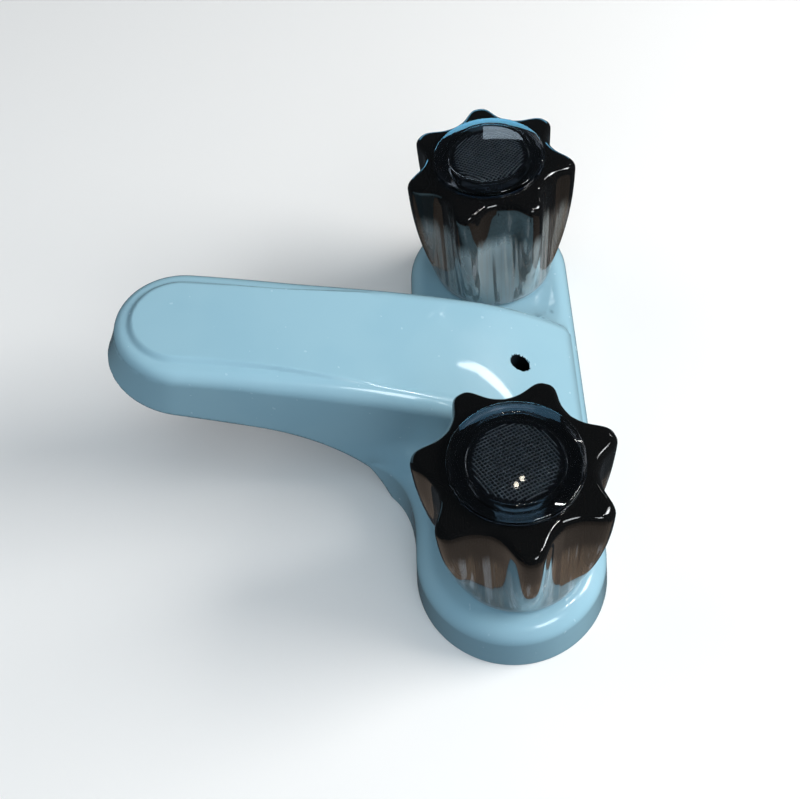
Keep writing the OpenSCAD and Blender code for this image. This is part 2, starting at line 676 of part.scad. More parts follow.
// Lobed outside of a handle. A lobe is widest at the shoulder and fades out at the skirt
lobe_steps = 14;
lobe_sharpness = 3;
shoulder_drop = 3.4;
cap_edge_r = cap_r + 0.4;
function lobe_share(a) = 1 / (1 + pow(abs(a) / lobe_half_angle, lobe_sharpness));
function tip_profile(s) = skirt_r + (lobe_tip_r - skirt_r) * (1 - pow(1 - s, 2));
function valley_profile(s) = skirt_r + (valley_r - skirt_r) * s;
function handle_radius(a, s) = let (v = valley_profile(s)) v + (tip_profile(s) - v) * lobe_share(a);
function handle_ring(z, s, share, phase) = let (n = lobes * lobe_steps, half_lobe = 180 / lobes)
    [for (i = [0 : n - 1])
        let (a = 360 * i / n, from_lobe = (a + half_lobe) % (2 * half_lobe) - half_lobe,
            r = cap_edge_r + (handle_radius(from_lobe, s) - cap_edge_r) * share)
        [r * cos(a + phase), r * sin(a + phase), z]];
module handle_form(phase) {
    shoulder_z = handle_top_z - shoulder_drop;
    skirt_levels = [0, 0.06, 0.16, 0.3, 0.45, 0.6, 0.8, 1];
    rings = concat(
        [for (s = skirt_levels) handle_ring(skirt_z + (shoulder_z - skirt_z) * s, s, 1, phase)],
        [handle_ring(handle_top_z - top_slope_drop - 0.7, 1, 0.97, phase),
         handle_ring(handle_top_z - top_slope_drop, 1, 0.88, phase),
         handle_ring(handle_top_z, 1, 0, phase)]);
    n = len(rings[0]);
    k = len(rings);
    walls = [for (j = [0 : k - 2], i = [0 : n - 1]) let (a = j * n + i, b = j * n + (i + 1) % n)
        each [[a, a + n, b], [b, a + n, b + n]]];
    polyhedron(points = [for (ring = rings) each ring],
        faces = concat(walls, [[for (i = [0 : n - 1]) i]], [[for (i = [n - 1 : -1 : 0]) (k - 1) * n + i]]));
}

hollow_top_r = hollow_r - 1.2;
module handle(side) color("#3a322e", 0.8) translate([side * handle_x, 0, 0]) difference() {
    handle_form(side == HOT ? hot_lobe_phase : cold_lobe_phase);
    difference() {
        translate([0, 0, skirt_z]) rotate_extrude()
            polygon([[0, -past], [hollow_r, -past], [hollow_r, 0], [hollow_top_r, hollow_top_z - skirt_z],
                [0, hollow_top_z - skirt_z]]);
        translate([0, 0, hub_z]) cylinder(h = solid_top + hollow_top_z, r = hub_r);
    }
    translate([0, 0, hub_z - past])
        cylinder(h = hollow_top_z - hub_z + past, r = insert_r + push_fit);
    translate([0, 0, hub_z]) cylinder(h = handle_top_z - hub_z, r = screw_r + 0.45);
    translate([0, 0, screw_seat_z]) cylinder(h = solid_top, r = screw_pocket_r);
    translate([0, 0, recess_z]) cylinder(h = solid_top, r = recess_r);
}

module handle_screw(side) color("#b9bdc2") translate([side * handle_x, 0, 0]) difference() {
    union() {
        translate([0, 0, stem_top_z - screw_reach])
            cylinder(h = screw_seat_z - stem_top_z + screw_reach, r = screw_r);
        translate([0, 0, screw_seat_z]) cylinder(h = 2.8, r = screw_head_r);
    }
    translate([0, 0, screw_seat_z + 1.2]) phillips_slot(1, 5, 2);
}

// Clear cap: rim, bevel and dome over the handle, and a plug that holds the knurled disc
disc_t_cap = 0.6;
cap_floor_t = 0.2;
cap_plug_wall = 3.6;
bevel_w = 3.8;
bevel_rise = 0.65;
function cap_dome(n) = [for (i = [0 : n]) let (x = (cap_r - bevel_w) * (1 - i / n))
    [x, cap_rim_h + cap_dome_h * (bevel_rise + (1 - bevel_rise) * (1 - pow(x / (cap_r - bevel_w), 2)))]];
module index_cap(side) color("#23282c", 0.8) translate([side * handle_x, 0, handle_top_z])
    rotate_extrude() polygon(concat(
        [[0, -cap_floor_t], [recess_r - cap_plug_wall, -cap_floor_t],
         [recess_r - cap_plug_wall, recess_z - handle_top_z + 0.2],
         [recess_r - 0.1, recess_z - handle_top_z + 0.2], [recess_r - 0.1, 0],
         [cap_r, 0], [cap_r, cap_rim_h]],
        cap_dome(8)));

module knurled_disc(side) color("#4a4e52")
    translate([side * handle_x, 0, handle_top_z - cap_floor_t - disc_t_cap])
        cylinder(h = disc_t_cap, r = disc_r);

// Washer and winged nut that clamp the sink deck from below
module mounting_washer(side) color("#dcdcd6")
    translate([side * handle_x, 0, -deck_t - washer_t]) difference() {
        cylinder(h = washer_t, r = washer_r);
        translate([0, 0, -past]) cylinder(h = washer_t + 2 * past, r = shank_r + 0.3);
    }
wing_l = 7;
module mounting_nut(side) color("#f0efe8")
    translate([side * handle_x, 0, -deck_t - washer_t - lock_nut_h]) difference() {
        union() {
            cylinder(h = lock_nut_h, r = lock_nut_r);
            for (turn = [45, 135, 225, 315])
                rotate([0, 0, turn]) translate([shank_r + 1, -1.5, 0])
                    cube([lock_nut_r + wing_l - shank_r - 1, 3, lock_nut_h * 0.75]);
        }
        translate([0, 0, -past]) cylinder(h = lock_nut_h + 2 * past, r = shank_r + push_fit);
    }

body_shell();
underside_cover();
cover_screws();
base_gasket();
end_body(HOT);  // hot_end_body
end_body(COLD);  // cold_end_body
crossover_tube(HOT);  // hot_crossover_tube
crossover_tube(COLD);  // cold_crossover_tube
mixing_tee();
spout_tube();
outlet_elbow();
aerator_housing();
aerator_washer();
aerator_screen();
seat_spring(HOT);  // hot_seat_spring
seat_spring(COLD);  // cold_seat_spring
seat(HOT);  // hot_seat
seat(COLD);  // cold_seat
cartridge_sleeve(HOT);  // hot_cartridge_sleeve
cartridge_sleeve(COLD);  // cold_cartridge_sleeve
bonnet_nut(HOT);  // hot_bonnet_nut
bonnet_nut(COLD);  // cold_bonnet_nut
stem(HOT);  // hot_stem
stem(COLD);  // cold_stem
stem_seal(HOT);  // hot_stem_seal
stem_seal(COLD);  // cold_stem_seal
spline_insert(HOT);  // hot_spline_insert
spline_insert(COLD);  // cold_spline_insert
handle(HOT);  // hot_handle
handle(COLD);  // cold_handle
handle_screw(HOT);  // hot_handle_screw
handle_screw(COLD);  // cold_handle_screw
knurled_disc(HOT);  // hot_knurled_disc
knurled_disc(COLD);  // cold_knurled_disc
index_cap(HOT);  // hot_index_cap
index_cap(COLD);  // cold_index_cap
mounting_washer(HOT);  // hot_mounting_washer
mounting_washer(COLD);  // cold_mounting_washer
mounting_nut(HOT);  // hot_mounting_nut
mounting_nut(COLD);  // cold_mounting_nut
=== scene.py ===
"""Two-handle sink faucet: the visible surface of every piece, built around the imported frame.

The moulded shell, the lobed knobs, their caps and the knurled discs are made here as full
meshes; the brass, copper, steel and rubber pieces keep their CAD meshes and get a finish.
Lengths are written in millimetres and become metres when a mesh is made.
"""
from __future__ import annotations

import sys
import logging
import math
from dataclasses import dataclass, field
from enum import Enum
from functools import partialmethod
from typing import NamedTuple, Sequence, Union

import bmesh
import bpy
import numpy as np
from mathutils import Matrix, Vector


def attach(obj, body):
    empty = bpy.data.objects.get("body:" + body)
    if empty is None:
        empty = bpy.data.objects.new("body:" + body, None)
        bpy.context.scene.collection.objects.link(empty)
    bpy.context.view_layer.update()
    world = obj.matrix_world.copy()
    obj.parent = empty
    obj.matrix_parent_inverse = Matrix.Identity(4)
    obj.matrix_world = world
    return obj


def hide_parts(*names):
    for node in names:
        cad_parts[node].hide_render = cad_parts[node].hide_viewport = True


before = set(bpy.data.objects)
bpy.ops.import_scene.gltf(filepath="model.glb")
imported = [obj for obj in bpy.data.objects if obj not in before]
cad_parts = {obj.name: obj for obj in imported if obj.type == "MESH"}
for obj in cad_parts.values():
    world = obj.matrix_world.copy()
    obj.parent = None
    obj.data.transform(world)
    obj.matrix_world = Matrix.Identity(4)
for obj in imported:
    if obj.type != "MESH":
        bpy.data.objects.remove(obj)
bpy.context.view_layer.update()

LOG = logging.getLogger("faucet")
MM = 0.001
TINY = 1e-6
NOISE_RANGE = (0.3, 0.7)
Array = np.ndarray
Colour = tuple[float, float, float]
Span = tuple[float, float]
Point = tuple[float, float, float]
Grid = tuple[tuple[float, float, float], ...]


# ---------------------------------------------------------------------------- node writing

class Wire:
    """Output of a node, on which Python's operators add Math nodes to the same tree."""

    def __init__(self, pad: "NodePad", socket: bpy.types.NodeSocket) -> None:
        """Keeps the tree's writer and the output socket that later nodes read."""
        self.pad = pad
        self.socket = socket

    def maths(self, operation: str, *others: "Value", first: bool = True) -> "Wire":
        """Adds one Math node, with this wire as its first operand or else its last."""
        values = [self, *others] if first else [*others, self]
        return self.pad.add("ShaderNodeMath", {"operation": operation}, dict(enumerate(values)))

    __add__ = __radd__ = partialmethod(maths, "ADD")
    __sub__ = partialmethod(maths, "SUBTRACT")
    __rsub__ = partialmethod(maths, "SUBTRACT", first=False)
    __mul__ = __rmul__ = partialmethod(maths, "MULTIPLY")
    __truediv__ = partialmethod(maths, "DIVIDE")
    __rtruediv__ = partialmethod(maths, "DIVIDE", first=False)
    __pow__ = partialmethod(maths, "POWER")
    __mod__ = partialmethod(maths, "FLOORED_MODULO")
    __abs__ = partialmethod(maths, "ABSOLUTE")
    cos = partialmethod(maths, "COSINE")
    sin = partialmethod(maths, "SINE")

    def blend(self, low: "Wire", high: "Wire") -> "Wire":
        """Low where this wire is 0, high where it is 1."""
        return low + (high - low) * self


Value = Union[Wire, float, int]


class NodePad:
    """Writes nodes into one tree."""

    def __init__(self, tree: bpy.types.NodeTree) -> None:
        """Keeps the tree that gets the nodes."""
        self.tree = tree

    def add(self, kind: str, settings: dict | None = None, inputs: dict | None = None,
            out: int | str = 0) -> Wire:
        """Adds one node of any type.

        Args:
            kind: Node type, such as ShaderNodeMath.
            settings: Node properties, set first.
            inputs: Values or wires by socket name or number; a list goes to one socket in turn.
            out: Name or number of the output that is returned.

        Returns:
            The chosen output.
        """
        node = self.tree.nodes.new(kind)
        for key, value in (settings or {}).items():
            setattr(node, key, value)
        for key, value in (inputs or {}).items():
            for each in value if isinstance(value, list) else [value]:
                if isinstance(each, Wire):
                    self.tree.links.new(each.socket, node.inputs[key])
                else:
                    node.inputs[key].default_value = each
        return Wire(self, node.outputs[out])

    def axis(self, vector: Wire, number: int) -> Wire:
        """One part of a vector: 0 for x, 1 for y, 2 for z."""
        return self.add("ShaderNodeSeparateXYZ", None, {0: vector}, out=number)

    def mix(self, share: Value, first: "Wire | Colour", second: "Wire | Colour") -> Wire:
        """Colour between two colours.

        Args:
            share: 0 for the first colour, 1 for the second.
            first: One colour.
            second: The other colour.

        Returns:
            The mixed colour.
        """
        sides = [c if isinstance(c, Wire) else (*c, 1.0) for c in (first, second)]
        return self.add("ShaderNodeMix", {"data_type": "RGBA"},
                        {0: share, 6: sides[0], 7: sides[1]}, out=2)


class FinishPad(NodePad):
    """Writes the nodes of one material."""

    def __init__(self, name: str) -> None:
        """Makes an empty material.

        Args:
            name: Name of the material.
        """
        self.material = bpy.data.materials.new(name)
        self.material.use_nodes = True
        super().__init__(self.material.node_tree)
        self.tree.nodes.clear()
        self.output = self.tree.nodes.new("ShaderNodeOutputMaterial")

    def place(self, scale: Point = (1, 1, 1)) -> Wire:
        """Object coordinates in metres, stretched by a scale along each axis."""
        spot = self.add("ShaderNodeTexCoord", out="Object")
        return self.add("ShaderNodeVectorMath", {"operation": "MULTIPLY"}, {0: spot, 1: scale})

    def noise(self, pitch: float, detail: float = 2.0, spot: Wire | None = None) -> Wire:
        """Soft noise.

        Args:
            pitch: Size of a patch in millimetres.
            detail: Number of finer layers.
            spot: Where the noise is read; Object coordinates if left out.

        Returns:
            A value from 0 to 1, mostly near 0.5.
        """
        return self.add("ShaderNodeTexNoise", None,
                        {"Vector": spot or self.place(), "Scale": 1000.0 / pitch,
                         "Detail": detail, "Roughness": 0.55})

    def spread(self, value: Wire, low: float, high: float, start: float = 0.0,
               end: float = 1.0) -> Wire:
        """Maps the range low..high of a value to start..end, smoothly and held at the ends."""
        return self.add("ShaderNodeMapRange", {"interpolation_type": "SMOOTHSTEP"},
                        {0: value, 1: low, 2: high, 3: start, 4: end})

    def vary(self, noise: Wire, start: float, end: float) -> Wire:
        """Maps the usual range of a noise to start..end."""
        return self.spread(noise, *NOISE_RANGE, start, end)

    def bump(self, height: Wire, depth: float, below: Wire | None = None) -> Wire:
        """Surface relief.

        Args:
            height: Relief from 0 to 1.
            depth: Height of a full step in millimetres.
            below: Normal of a coarser relief under this one.

        Returns:
            The bent normal.
        """
        inputs = {"Height": height, "Distance": depth * MM, "Strength": 1.0}
        if below is not None:
            inputs["Normal"] = below
        return self.add("ShaderNodeBump", None, inputs)

    def surface(self, **inputs: "Value | Colour") -> None:
        """Joins a Principled shader to the output.

        Args:
            inputs: Values by socket name, with underscores for spaces.
        """
        named = {key.replace("_", " "): (*v, 1.0) if isinstance(v, tuple) else v
                 for key, v in inputs.items()}
        shader = self.add("ShaderNodeBsdfPrincipled", None, named)
        self.tree.links.new(shader.socket, self.output.inputs["Surface"])

    def volume(self, colour: Colour, density: float) -> None:
        """Joins a plain absorbing volume to the output.

        Args:
            colour: Colour that light keeps.
            density: Density per metre.
        """
        filled = self.add("ShaderNodeVolumeAbsorption", None,
                          {"Color": (*colour, 1.0), "Density": density})
        self.tree.links.new(filled.socket, self.output.inputs["Volume"])


class RuleTree(NodePad):
    """Geometry Nodes tree with named sizes, turned into a plain mesh at the end."""

    def __init__(self, name: str) -> None:
        """Makes an empty tree with a geometry socket on each side.

        Args:
            name: Name of the tree.
        """
        super().__init__(bpy.data.node_groups.new(name, "GeometryNodeTree"))
        face = self.tree.interface
        face.new_socket("Geometry", in_out="INPUT", socket_type="NodeSocketGeometry")
        face.new_socket("Geometry", in_out="OUTPUT", socket_type="NodeSocketGeometry")
        self.inlet = self.tree.nodes.new("NodeGroupInput")
        self.sizes: dict[str, float] = {}

    def blank(self) -> Wire:
        """The geometry that comes in."""
        return Wire(self, self.inlet.outputs["Geometry"])

    def named(self, values: dict[str, float]) -> list[Wire]:
        """Adds named inputs.

        Args:
            values: Value on the piece by input name; an int makes an integer input.

        Returns:
            The wires that carry them, in the same order.
        """
        wires = []
        for label, value in values.items():
            kind = "NodeSocketInt" if isinstance(value, int) else "NodeSocketFloat"
            socket = self.tree.interface.new_socket(label, in_out="INPUT", socket_type=kind)
            self.sizes[socket.identifier] = value
            wires.append(Wire(self, self.inlet.outputs[label]))
        return wires

    def mark(self, label: str) -> Wire:
        """Reads a named number of each point."""
        return self.add("GeometryNodeInputNamedAttribute", {"data_type": "FLOAT"}, {"Name": label})

    def vector(self, x: Value, y: Value, z: Value) -> Wire:
        """Joins three values to a vector."""
        return self.add("ShaderNodeCombineXYZ", None, {0: x, 1: y, 2: z})

    def shape(self, name: str, geometry: Wire, material: bpy.types.Material,
              blank: bpy.types.Mesh | None = None) -> bpy.types.Mesh:
        """Runs the tree once.

        Args:
            name: Name of the mesh.
            geometry: Last geometry of the tree.
            material: Material of every face.
            blank: Mesh that comes in; an empty one if left out.

        Returns:
            The result as a plain mesh.
        """
        whole = self.add("GeometryNodeRealizeInstances", None, {"Geometry": geometry})
        dressed = self.add("GeometryNodeSetMaterial", None,
                           {"Geometry": whole, "Material": material})
        outlet = self.tree.nodes.new("NodeGroupOutput")
        self.tree.links.new(dressed.socket, outlet.inputs["Geometry"])
        carrier = bpy.data.objects.new(name + "_blank", blank or bpy.data.meshes.new(name))
        bpy.context.scene.collection.objects.link(carrier)
        rule = carrier.modifiers.new("rule", "NODES")
        rule.node_group = self.tree
        for identifier, value in self.sizes.items():
            rule[identifier] = value
        graph = bpy.context.evaluated_depsgraph_get()
        mesh = bpy.data.meshes.new_from_object(carrier.evaluated_get(graph))
        carrier.modifiers.remove(rule)
        bpy.data.objects.remove(carrier)
        mesh.name = name
        return mesh


# -------------------------------------------------------------------------------- finishes

@dataclass(frozen=True)
class Finish:
    """A named finish and the record's slot that it stands for.

    In the finishes a pitch is the size of a patch of noise and a depth the height of its
    relief, both in millimetres. A cut is the stretch of the noise over which its effect grows
    from nothing to its most.
    """

    name: str
    slot: str

    def material(self) -> bpy.types.Material:
        """The finish's material, made at its first use.

        Returns:
            The material, the same one at every use.
        """
        kept = bpy.data.materials.get(self.name + "_finish")
        if kept is not None:
            return kept
        pad = FinishPad(self.name + "_finish")
        self.paint(pad)
        return pad.material

    def paint(self, pad: FinishPad) -> None:
        """Writes the finish's nodes with the new material's pad."""
        raise NotImplementedError


@dataclass(frozen=True)
class GlossShell(Finish):
    """Glossy moulded plastic with faint mottling, orange peel and dust specks."""

    colour: Colour = (0.36, 0.59, 0.70)
    deep: Colour = (0.34, 0.57, 0.685)
    dust: Colour = (0.75, 0.88, 0.93)
    dust_share: float = 0.15
    dust_rough: float = 0.12
    gloss: float = 0.2
    gloss_range: float = 0.05
    index: float = 1.5
    coat: float = 0.8
    coat_rough: float = 0.03
    mottle_pitch: float = 22.0
    mottle_cut: Span = (0.35, 0.65)
    dust_pitch: float = 1.4
    dust_cut: Span = (0.83, 0.86)
    peel_pitch: float = 6.0
    peel_depth: float = 0.006
    grain_pitch: float = 1.1
    grain_depth: float = 0.0006

    def paint(self, pad: FinishPad) -> None:
        """Writes the nodes: mottled colour, uneven gloss and a fine peel.

        Args:
            pad: Writer of the new material.
        """
        mottle = pad.noise(self.mottle_pitch)
        grain = pad.noise(self.grain_pitch)
        specks = pad.spread(pad.noise(self.dust_pitch, 0.0), *self.dust_cut)
        tone = pad.mix(pad.spread(mottle, *self.mottle_cut), self.colour, self.deep)
        tone = pad.mix(specks * self.dust_share, tone, self.dust)
        rough = pad.vary(mottle, self.gloss, self.gloss + self.gloss_range)
        peel = pad.bump(pad.noise(self.peel_pitch, 1.0), self.peel_depth)
        pad.surface(Base_Color=tone, Roughness=rough + specks * self.dust_rough, IOR=self.index,
                    Coat_Weight=self.coat, Coat_Roughness=self.coat_rough,
                    Normal=pad.bump(grain, self.grain_depth, peel))


@dataclass(frozen=True)
class TintedAcrylic(Finish):
    """Clear acrylic that darkens with depth, with painted reflections, painted streaks and handling
    marks.

    The tone turns from colour, a painted reflection of the blue shell, to the outer tone, a
    painted reflection of a brown table, at turn_x from the middle plane. The dark shade streaks
    are painted shade and the pale gleam streaks painted light, standing in for bands seen through
    the flutes. The dark top starts at dark_z and the pale rim ends above rim_z; both lie out of
    reach of a piece that sets neither. Places are in millimetres.
    """

    # Painted reflection of the blue shell, on each knob's inner side.
    colour: Colour = (0.80, 0.96, 1.0)
    # Painted reflection of a brown table, on each knob's outer side.
    streak: Colour = (0.27, 0.195, 0.135)
    # Colours of the dark streaks, painted shade, and of the pale streaks, painted light.
    shade: Colour = (0.07, 0.05, 0.04)
    gleam: Colour = (0.80, 0.82, 0.84)
    tint: Colour = (0.50, 0.42, 0.34)
    edge: Colour = (0.80, 0.92, 1.0)
    solid: Colour = (0.012, 0.012, 0.012)
    density: float = 200.0
    clarity: float = 0.70
    index: float = 1.49
    coat: float = 0.5
    coat_rough: float = 0.03
    relief: float = 0.004
    rough: float = 0.03
    rough_range: float = 0.006
    stretch: Point = (1.0, 1.0, 0.012)
    streak_pitch: float = 2.4
    shade_cut: Span = (0.53, 0.575)
    shade_most: float = 0.8
    group_pitch: float = 8.0
    group_cut: Span = (0.42, 0.56)
    group_share: Span = (0.25, 0.95)
    gleam_pitch: float = 1.1
    gleam_cut: Span = (0.53, 0.60)
    mark_pitch: float = 1.6
    mark_cut: Span = (0.62, 0.78)
    mark_rough: float = 0.01
    turn_x: float = 46.0
    turn_w: float = 9.0
    turn_sway: float = 0.02
    dark_z: float = 1000.0
    dark_fade: Span = (-1.0, 6.0)
    dark_sway: float = 0.006
    rim_z: float = -1000.0
    rim_w: float = 3.0

    def paint(self, pad: FinishPad) -> None:
        """Writes the nodes: absorption, painted reflections, painted streaks of light and shade, a
        dark solid top, a pale rim and marks.

        Args:
            pad: Writer of the new material.
        """
        upright = pad.place(self.stretch)
        flow, wide, fine = (pad.noise(pitch, 1.0, upright) for pitch in
                            (self.streak_pitch, self.group_pitch, self.gleam_pitch))
        marks = pad.spread(pad.noise(self.mark_pitch, 3.0), *self.mark_cut)
        rough = (pad.vary(flow, self.rough, self.rough + self.rough_range)
                 + marks * self.mark_rough)
        outwards, height = abs(pad.axis(pad.place(), 0)), pad.axis(pad.place(), 2)
        # Share of each knob's outer side, where the painted table reflection replaces the painted
        # shell reflection.
        facing = pad.spread(outwards + wide * self.turn_sway, self.turn_x * MM,
                            (self.turn_x + self.turn_w) * MM)
        tone = pad.mix(facing, self.colour, self.streak)
        # Dark upright streaks: painted shade.
        shaded = pad.spread(flow, *self.shade_cut, 0.0, self.shade_most)
        tone = pad.mix(shaded, tone, self.shade)
        # Pale upright streaks in groups: painted light.
        grouped = pad.spread(wide, *self.group_cut, *self.group_share)
        tone = pad.mix(pad.spread(fine, *self.gleam_cut) * grouped, tone, self.gleam)
        rim = pad.spread(height, self.rim_z * MM, (self.rim_z + self.rim_w) * MM, 1.0, 0.0)
        tone = pad.mix(rim, tone, self.edge)
        dark = pad.spread(height + flow * self.dark_sway,
                          *((self.dark_z + fade) * MM for fade in self.dark_fade))
        tone = pad.mix(dark, tone, self.solid)
        pad.surface(Base_Color=tone, Roughness=rough, IOR=self.index,
                    Transmission_Weight=self.clarity, Coat_Weight=self.coat,
                    Coat_Roughness=self.coat_rough, Normal=pad.bump(flow, self.relief))
        pad.volume(self.tint, self.density)


@dataclass(frozen=True)
class KnurledFoil(Finish):
    """Dark metal foil whose pressed ridges are painted lighter, a painted highlight where they
    catch the light.
    """

    base: Colour = (0.004, 0.005, 0.007)
    # Colour of the ridge tops: painted highlight.
    crest: Colour = (0.30, 0.31, 0.31)
    floor_z: float = 60.36
    crest_z: float = 60.50
    metal: float = 0.25
    mirror: float = 0.1
    rough: Span = (0.4, 0.55)
    wear_pitch: float = 0.8
    wear_depth: float = 0.01
    wear_cut: Span = (0.45, 0.7)
    wear_most: float = 0.35

    def paint(self, pad: FinishPad) -> None:
        """Writes the nodes: ridge crests painted bright over a dark ground, a painted highlight.

        Args:
            pad: Writer of the new material.
        """
        ridge = pad.spread(pad.axis(pad.place(), 2), self.floor_z * MM, self.crest_z * MM)
        wear = pad.noise(self.wear_pitch, 3.0)
        # Ridge tops painted lighter by height: painted highlight.
        tone = pad.mix(ridge, self.base, self.crest)
        worn = pad.spread(wear, *self.wear_cut, 0.0, self.wear_most)
        tone = pad.mix(worn, tone, self.base)
        pad.surface(Base_Color=tone, Roughness=pad.vary(wear, *self.rough),
                    Metallic=ridge * self.metal, Specular_IOR_Level=self.mirror,
                    Normal=pad.bump(wear, self.wear_depth))


class Working(Enum):
    """How a metal was worked: its grain's pitch, layers, stretch and depth, and most tarnish."""

    CAST = (0.7, 4.0, (1.0, 1.0, 1.0), 0.05, 0.45)
    TURNED = (6.0, 3.0, (0.25, 0.25, 14.0), 0.012, 0.45)
    DRAWN = (1.5, 3.0, (0.15, 1.0, 1.0), 0.008, 0.45)
    PLATED = (2.0, 1.0, (1.0, 1.0, 1.0), 0.002, 0.12)


@dataclass(frozen=True)
class Metal(Finish):
    """Metal with the marks of its working and a little tarnish."""

    colour: Colour = (0.70, 0.55, 0.27)
    stain: Colour = (0.42, 0.30, 0.14)
    working: Working = Working.CAST
    rough: float = 0.35
    rough_range: float = 0.14
    patch_pitch: float = 9.0
    patch_cut: Span = (0.45, 0.75)
    grain_cut: Span = (0.35, 0.7)
    grain_most: float = 0.2

    def paint(self, pad: FinishPad) -> None:
        """Writes the nodes: grain or tool lines, patches of tarnish, uneven gloss.

        Args:
            pad: Writer of the new material.
        """
        pitch, layers, stretch, depth, most = self.working.value
        patch = pad.noise(self.patch_pitch, 4.0)
        grain = pad.noise(pitch, layers, pad.place(stretch))
        tarnished = pad.spread(patch, *self.patch_cut, 0.0, most)
        lined = pad.spread(grain, *self.grain_cut, 0.0, self.grain_most)
        tone = pad.mix(lined, pad.mix(tarnished, self.colour, self.stain), self.stain)
        pad.surface(Base_Color=tone, Metallic=1.0, Normal=pad.bump(grain, depth),
                    Roughness=pad.vary(patch, self.rough, self.rough + self.rough_range))


@dataclass(frozen=True)
class Rubber(Finish):
    """Matte black rubber or foam with a pebbled skin and a dusting of chalk."""

    colour: Colour = (0.035, 0.036, 0.040)
    pebble: float = 0.8
    chalk: Colour = (0.16, 0.16, 0.17)
    chalk_pitch: float = 6.0
    chalk_cut: Span = (0.5, 0.8)
    chalk_most: float = 0.25
    rough: Span = (0.72, 0.88)
    index: float = 1.45
    skin_depth: float = 0.03
    skin_cut: Span = (0.0, 0.8)

    def paint(self, pad: FinishPad) -> None:
        """Writes the nodes: pebbled relief and pale bloom.

        Args:
            pad: Writer of the new material.
        """
        pebbles = pad.add("ShaderNodeTexVoronoi", None,
                          {"Vector": pad.place(), "Scale": 1000.0 / self.pebble})
        bloom = pad.spread(pad.noise(self.chalk_pitch, 4.0), *self.chalk_cut, 0.0, self.chalk_most)
        pad.surface(Base_Color=pad.mix(bloom, self.colour, self.chalk), IOR=self.index,
                    Roughness=pad.spread(pebbles, *self.skin_cut, *self.rough),
                    Normal=pad.bump(pebbles, self.skin_depth))


@dataclass(frozen=True)
class SatinPlastic(Finish):
    """Satin moulded plastic with flow marks."""

    colour: Colour = (0.83, 0.82, 0.77)
    shade: Colour = (0.74, 0.72, 0.66)
    rough: Span = (0.34, 0.46)
    index: float = 1.48
    cloud_pitch: float = 7.0
    cloud_cut: Span = (0.35, 0.7)
    grain_pitch: float = 0.35
    grain_depth: float = 0.012

    def paint(self, pad: FinishPad) -> None:
        """Writes the nodes: cloudy colour, even satin and a fine grain.

        Args:
            pad: Writer of the new material.
        """
        cloud = pad.noise(self.cloud_pitch, 3.0)
        tone = pad.mix(pad.spread(cloud, *self.cloud_cut), self.colour, self.shade)
        pad.surface(Base_Color=tone, Roughness=pad.vary(cloud, *self.rough), IOR=self.index,
                    Normal=pad.bump(pad.noise(self.grain_pitch), self.grain_depth))


@dataclass(frozen=True)
class PaleFloor(Finish):
    """Plain pale counter with the faintest grain."""

    colour: Colour = (0.90, 0.885, 0.87)
    shade: Colour = (0.87, 0.86, 0.85)
    shade_most: float = 0.3
    rough: Span = (0.55, 0.65)
    cloud_pitch: float = 60.0

    def paint(self, pad: FinishPad) -> None:
        """Writes the nodes: nearly even off-white.

        Args:
            pad: Writer of the new material.
        """
        cloud = pad.noise(self.cloud_pitch)
        shaded = pad.vary(cloud, 0.0, self.shade_most)
        pad.surface(Base_Color=pad.mix(shaded, self.colour, self.shade),
                    Roughness=pad.vary(cloud, *self.rough))


SHELL = GlossShell("sky_blue_gloss", "shell_plastic")
COVER = GlossShell("sky_blue_cover", "shell_plastic", deep=(0.31, 0.56, 0.69), gloss=0.3)
# Near-black finish of the lift rod's bore: painted shade in the hole.
PAINTED_BORE_SHADE = SatinPlastic("bore_painted_shade", "shell_plastic", (0.010, 0.014, 0.018), (0.006, 0.008, 0.010))
# Smoke knobs: painted reflections of a brown table and the blue shell, and painted streaks of light
# and shade.
SMOKE = TintedAcrylic("smoke_acrylic", "smoke_acrylic", dark_z=47.0, rim_z=17.5)
CAP = TintedAcrylic("cap_acrylic", "clear_acrylic", colour=(0.97, 0.98, 1.0),
                    streak=(0.93, 0.95, 0.98), shade=(0.90, 0.92, 0.95), gleam=(1.0, 1.0, 1.0),
                    tint=(0.40, 0.50, 0.60), density=110.0, clarity=1.0, coat=0.2, relief=0.001)
FOIL = KnurledFoil("knurled_foil", "knurled_foil")
CAST_BRASS = Metal("cast_brass", "cast_brass")
TURNED_BRASS = Metal("turned_brass", "turned_brass", (0.80, 0.66, 0.36), (0.52, 0.40, 0.20),
                     Working.TURNED, 0.24)
COPPER = Metal("drawn_copper", "copper_tube", (0.78, 0.43, 0.27), (0.36, 0.17, 0.10),
               Working.DRAWN, 0.26)
CHROME = Metal("chrome_plate", "chrome_plate", (0.82, 0.84, 0.86), (0.60, 0.62, 0.65),
               Working.PLATED, 0.06)
STEEL = Metal("satin_steel", "steel", (0.60, 0.61, 0.62), (0.40, 0.40, 0.41), Working.TURNED, 0.30)
RUBBER = Rubber("black_rubber", "black_rubber")
GASKET = Rubber("gasket_rubber", "gasket_rubber", (0.060, 0.062, 0.066), 1.4)
ACETAL = SatinPlastic("white_acetal", "white_plastic")
FLOOR = PaleFloor("pale_floor", "stage")


# ------------------------------------------------------------------------------ mesh making

MOST_OF_SIDE = 0.49   # share of a profile's side that one rounding may take
LEAST_REACH = 1e-3    # shortest fillet, in millimetres
FLOOR_COSINE = 0.9    # a face this level on the deck plane is the flat floor
APART_COSINE = 0.55   # a normal further than this from its face's own isn't used


class Body(Enum):
    """CAD bodies that pieces ride on."""

    FAUCET = "faucet_body"
    HOT = "hot_valve"
    COLD = "cold_valve"


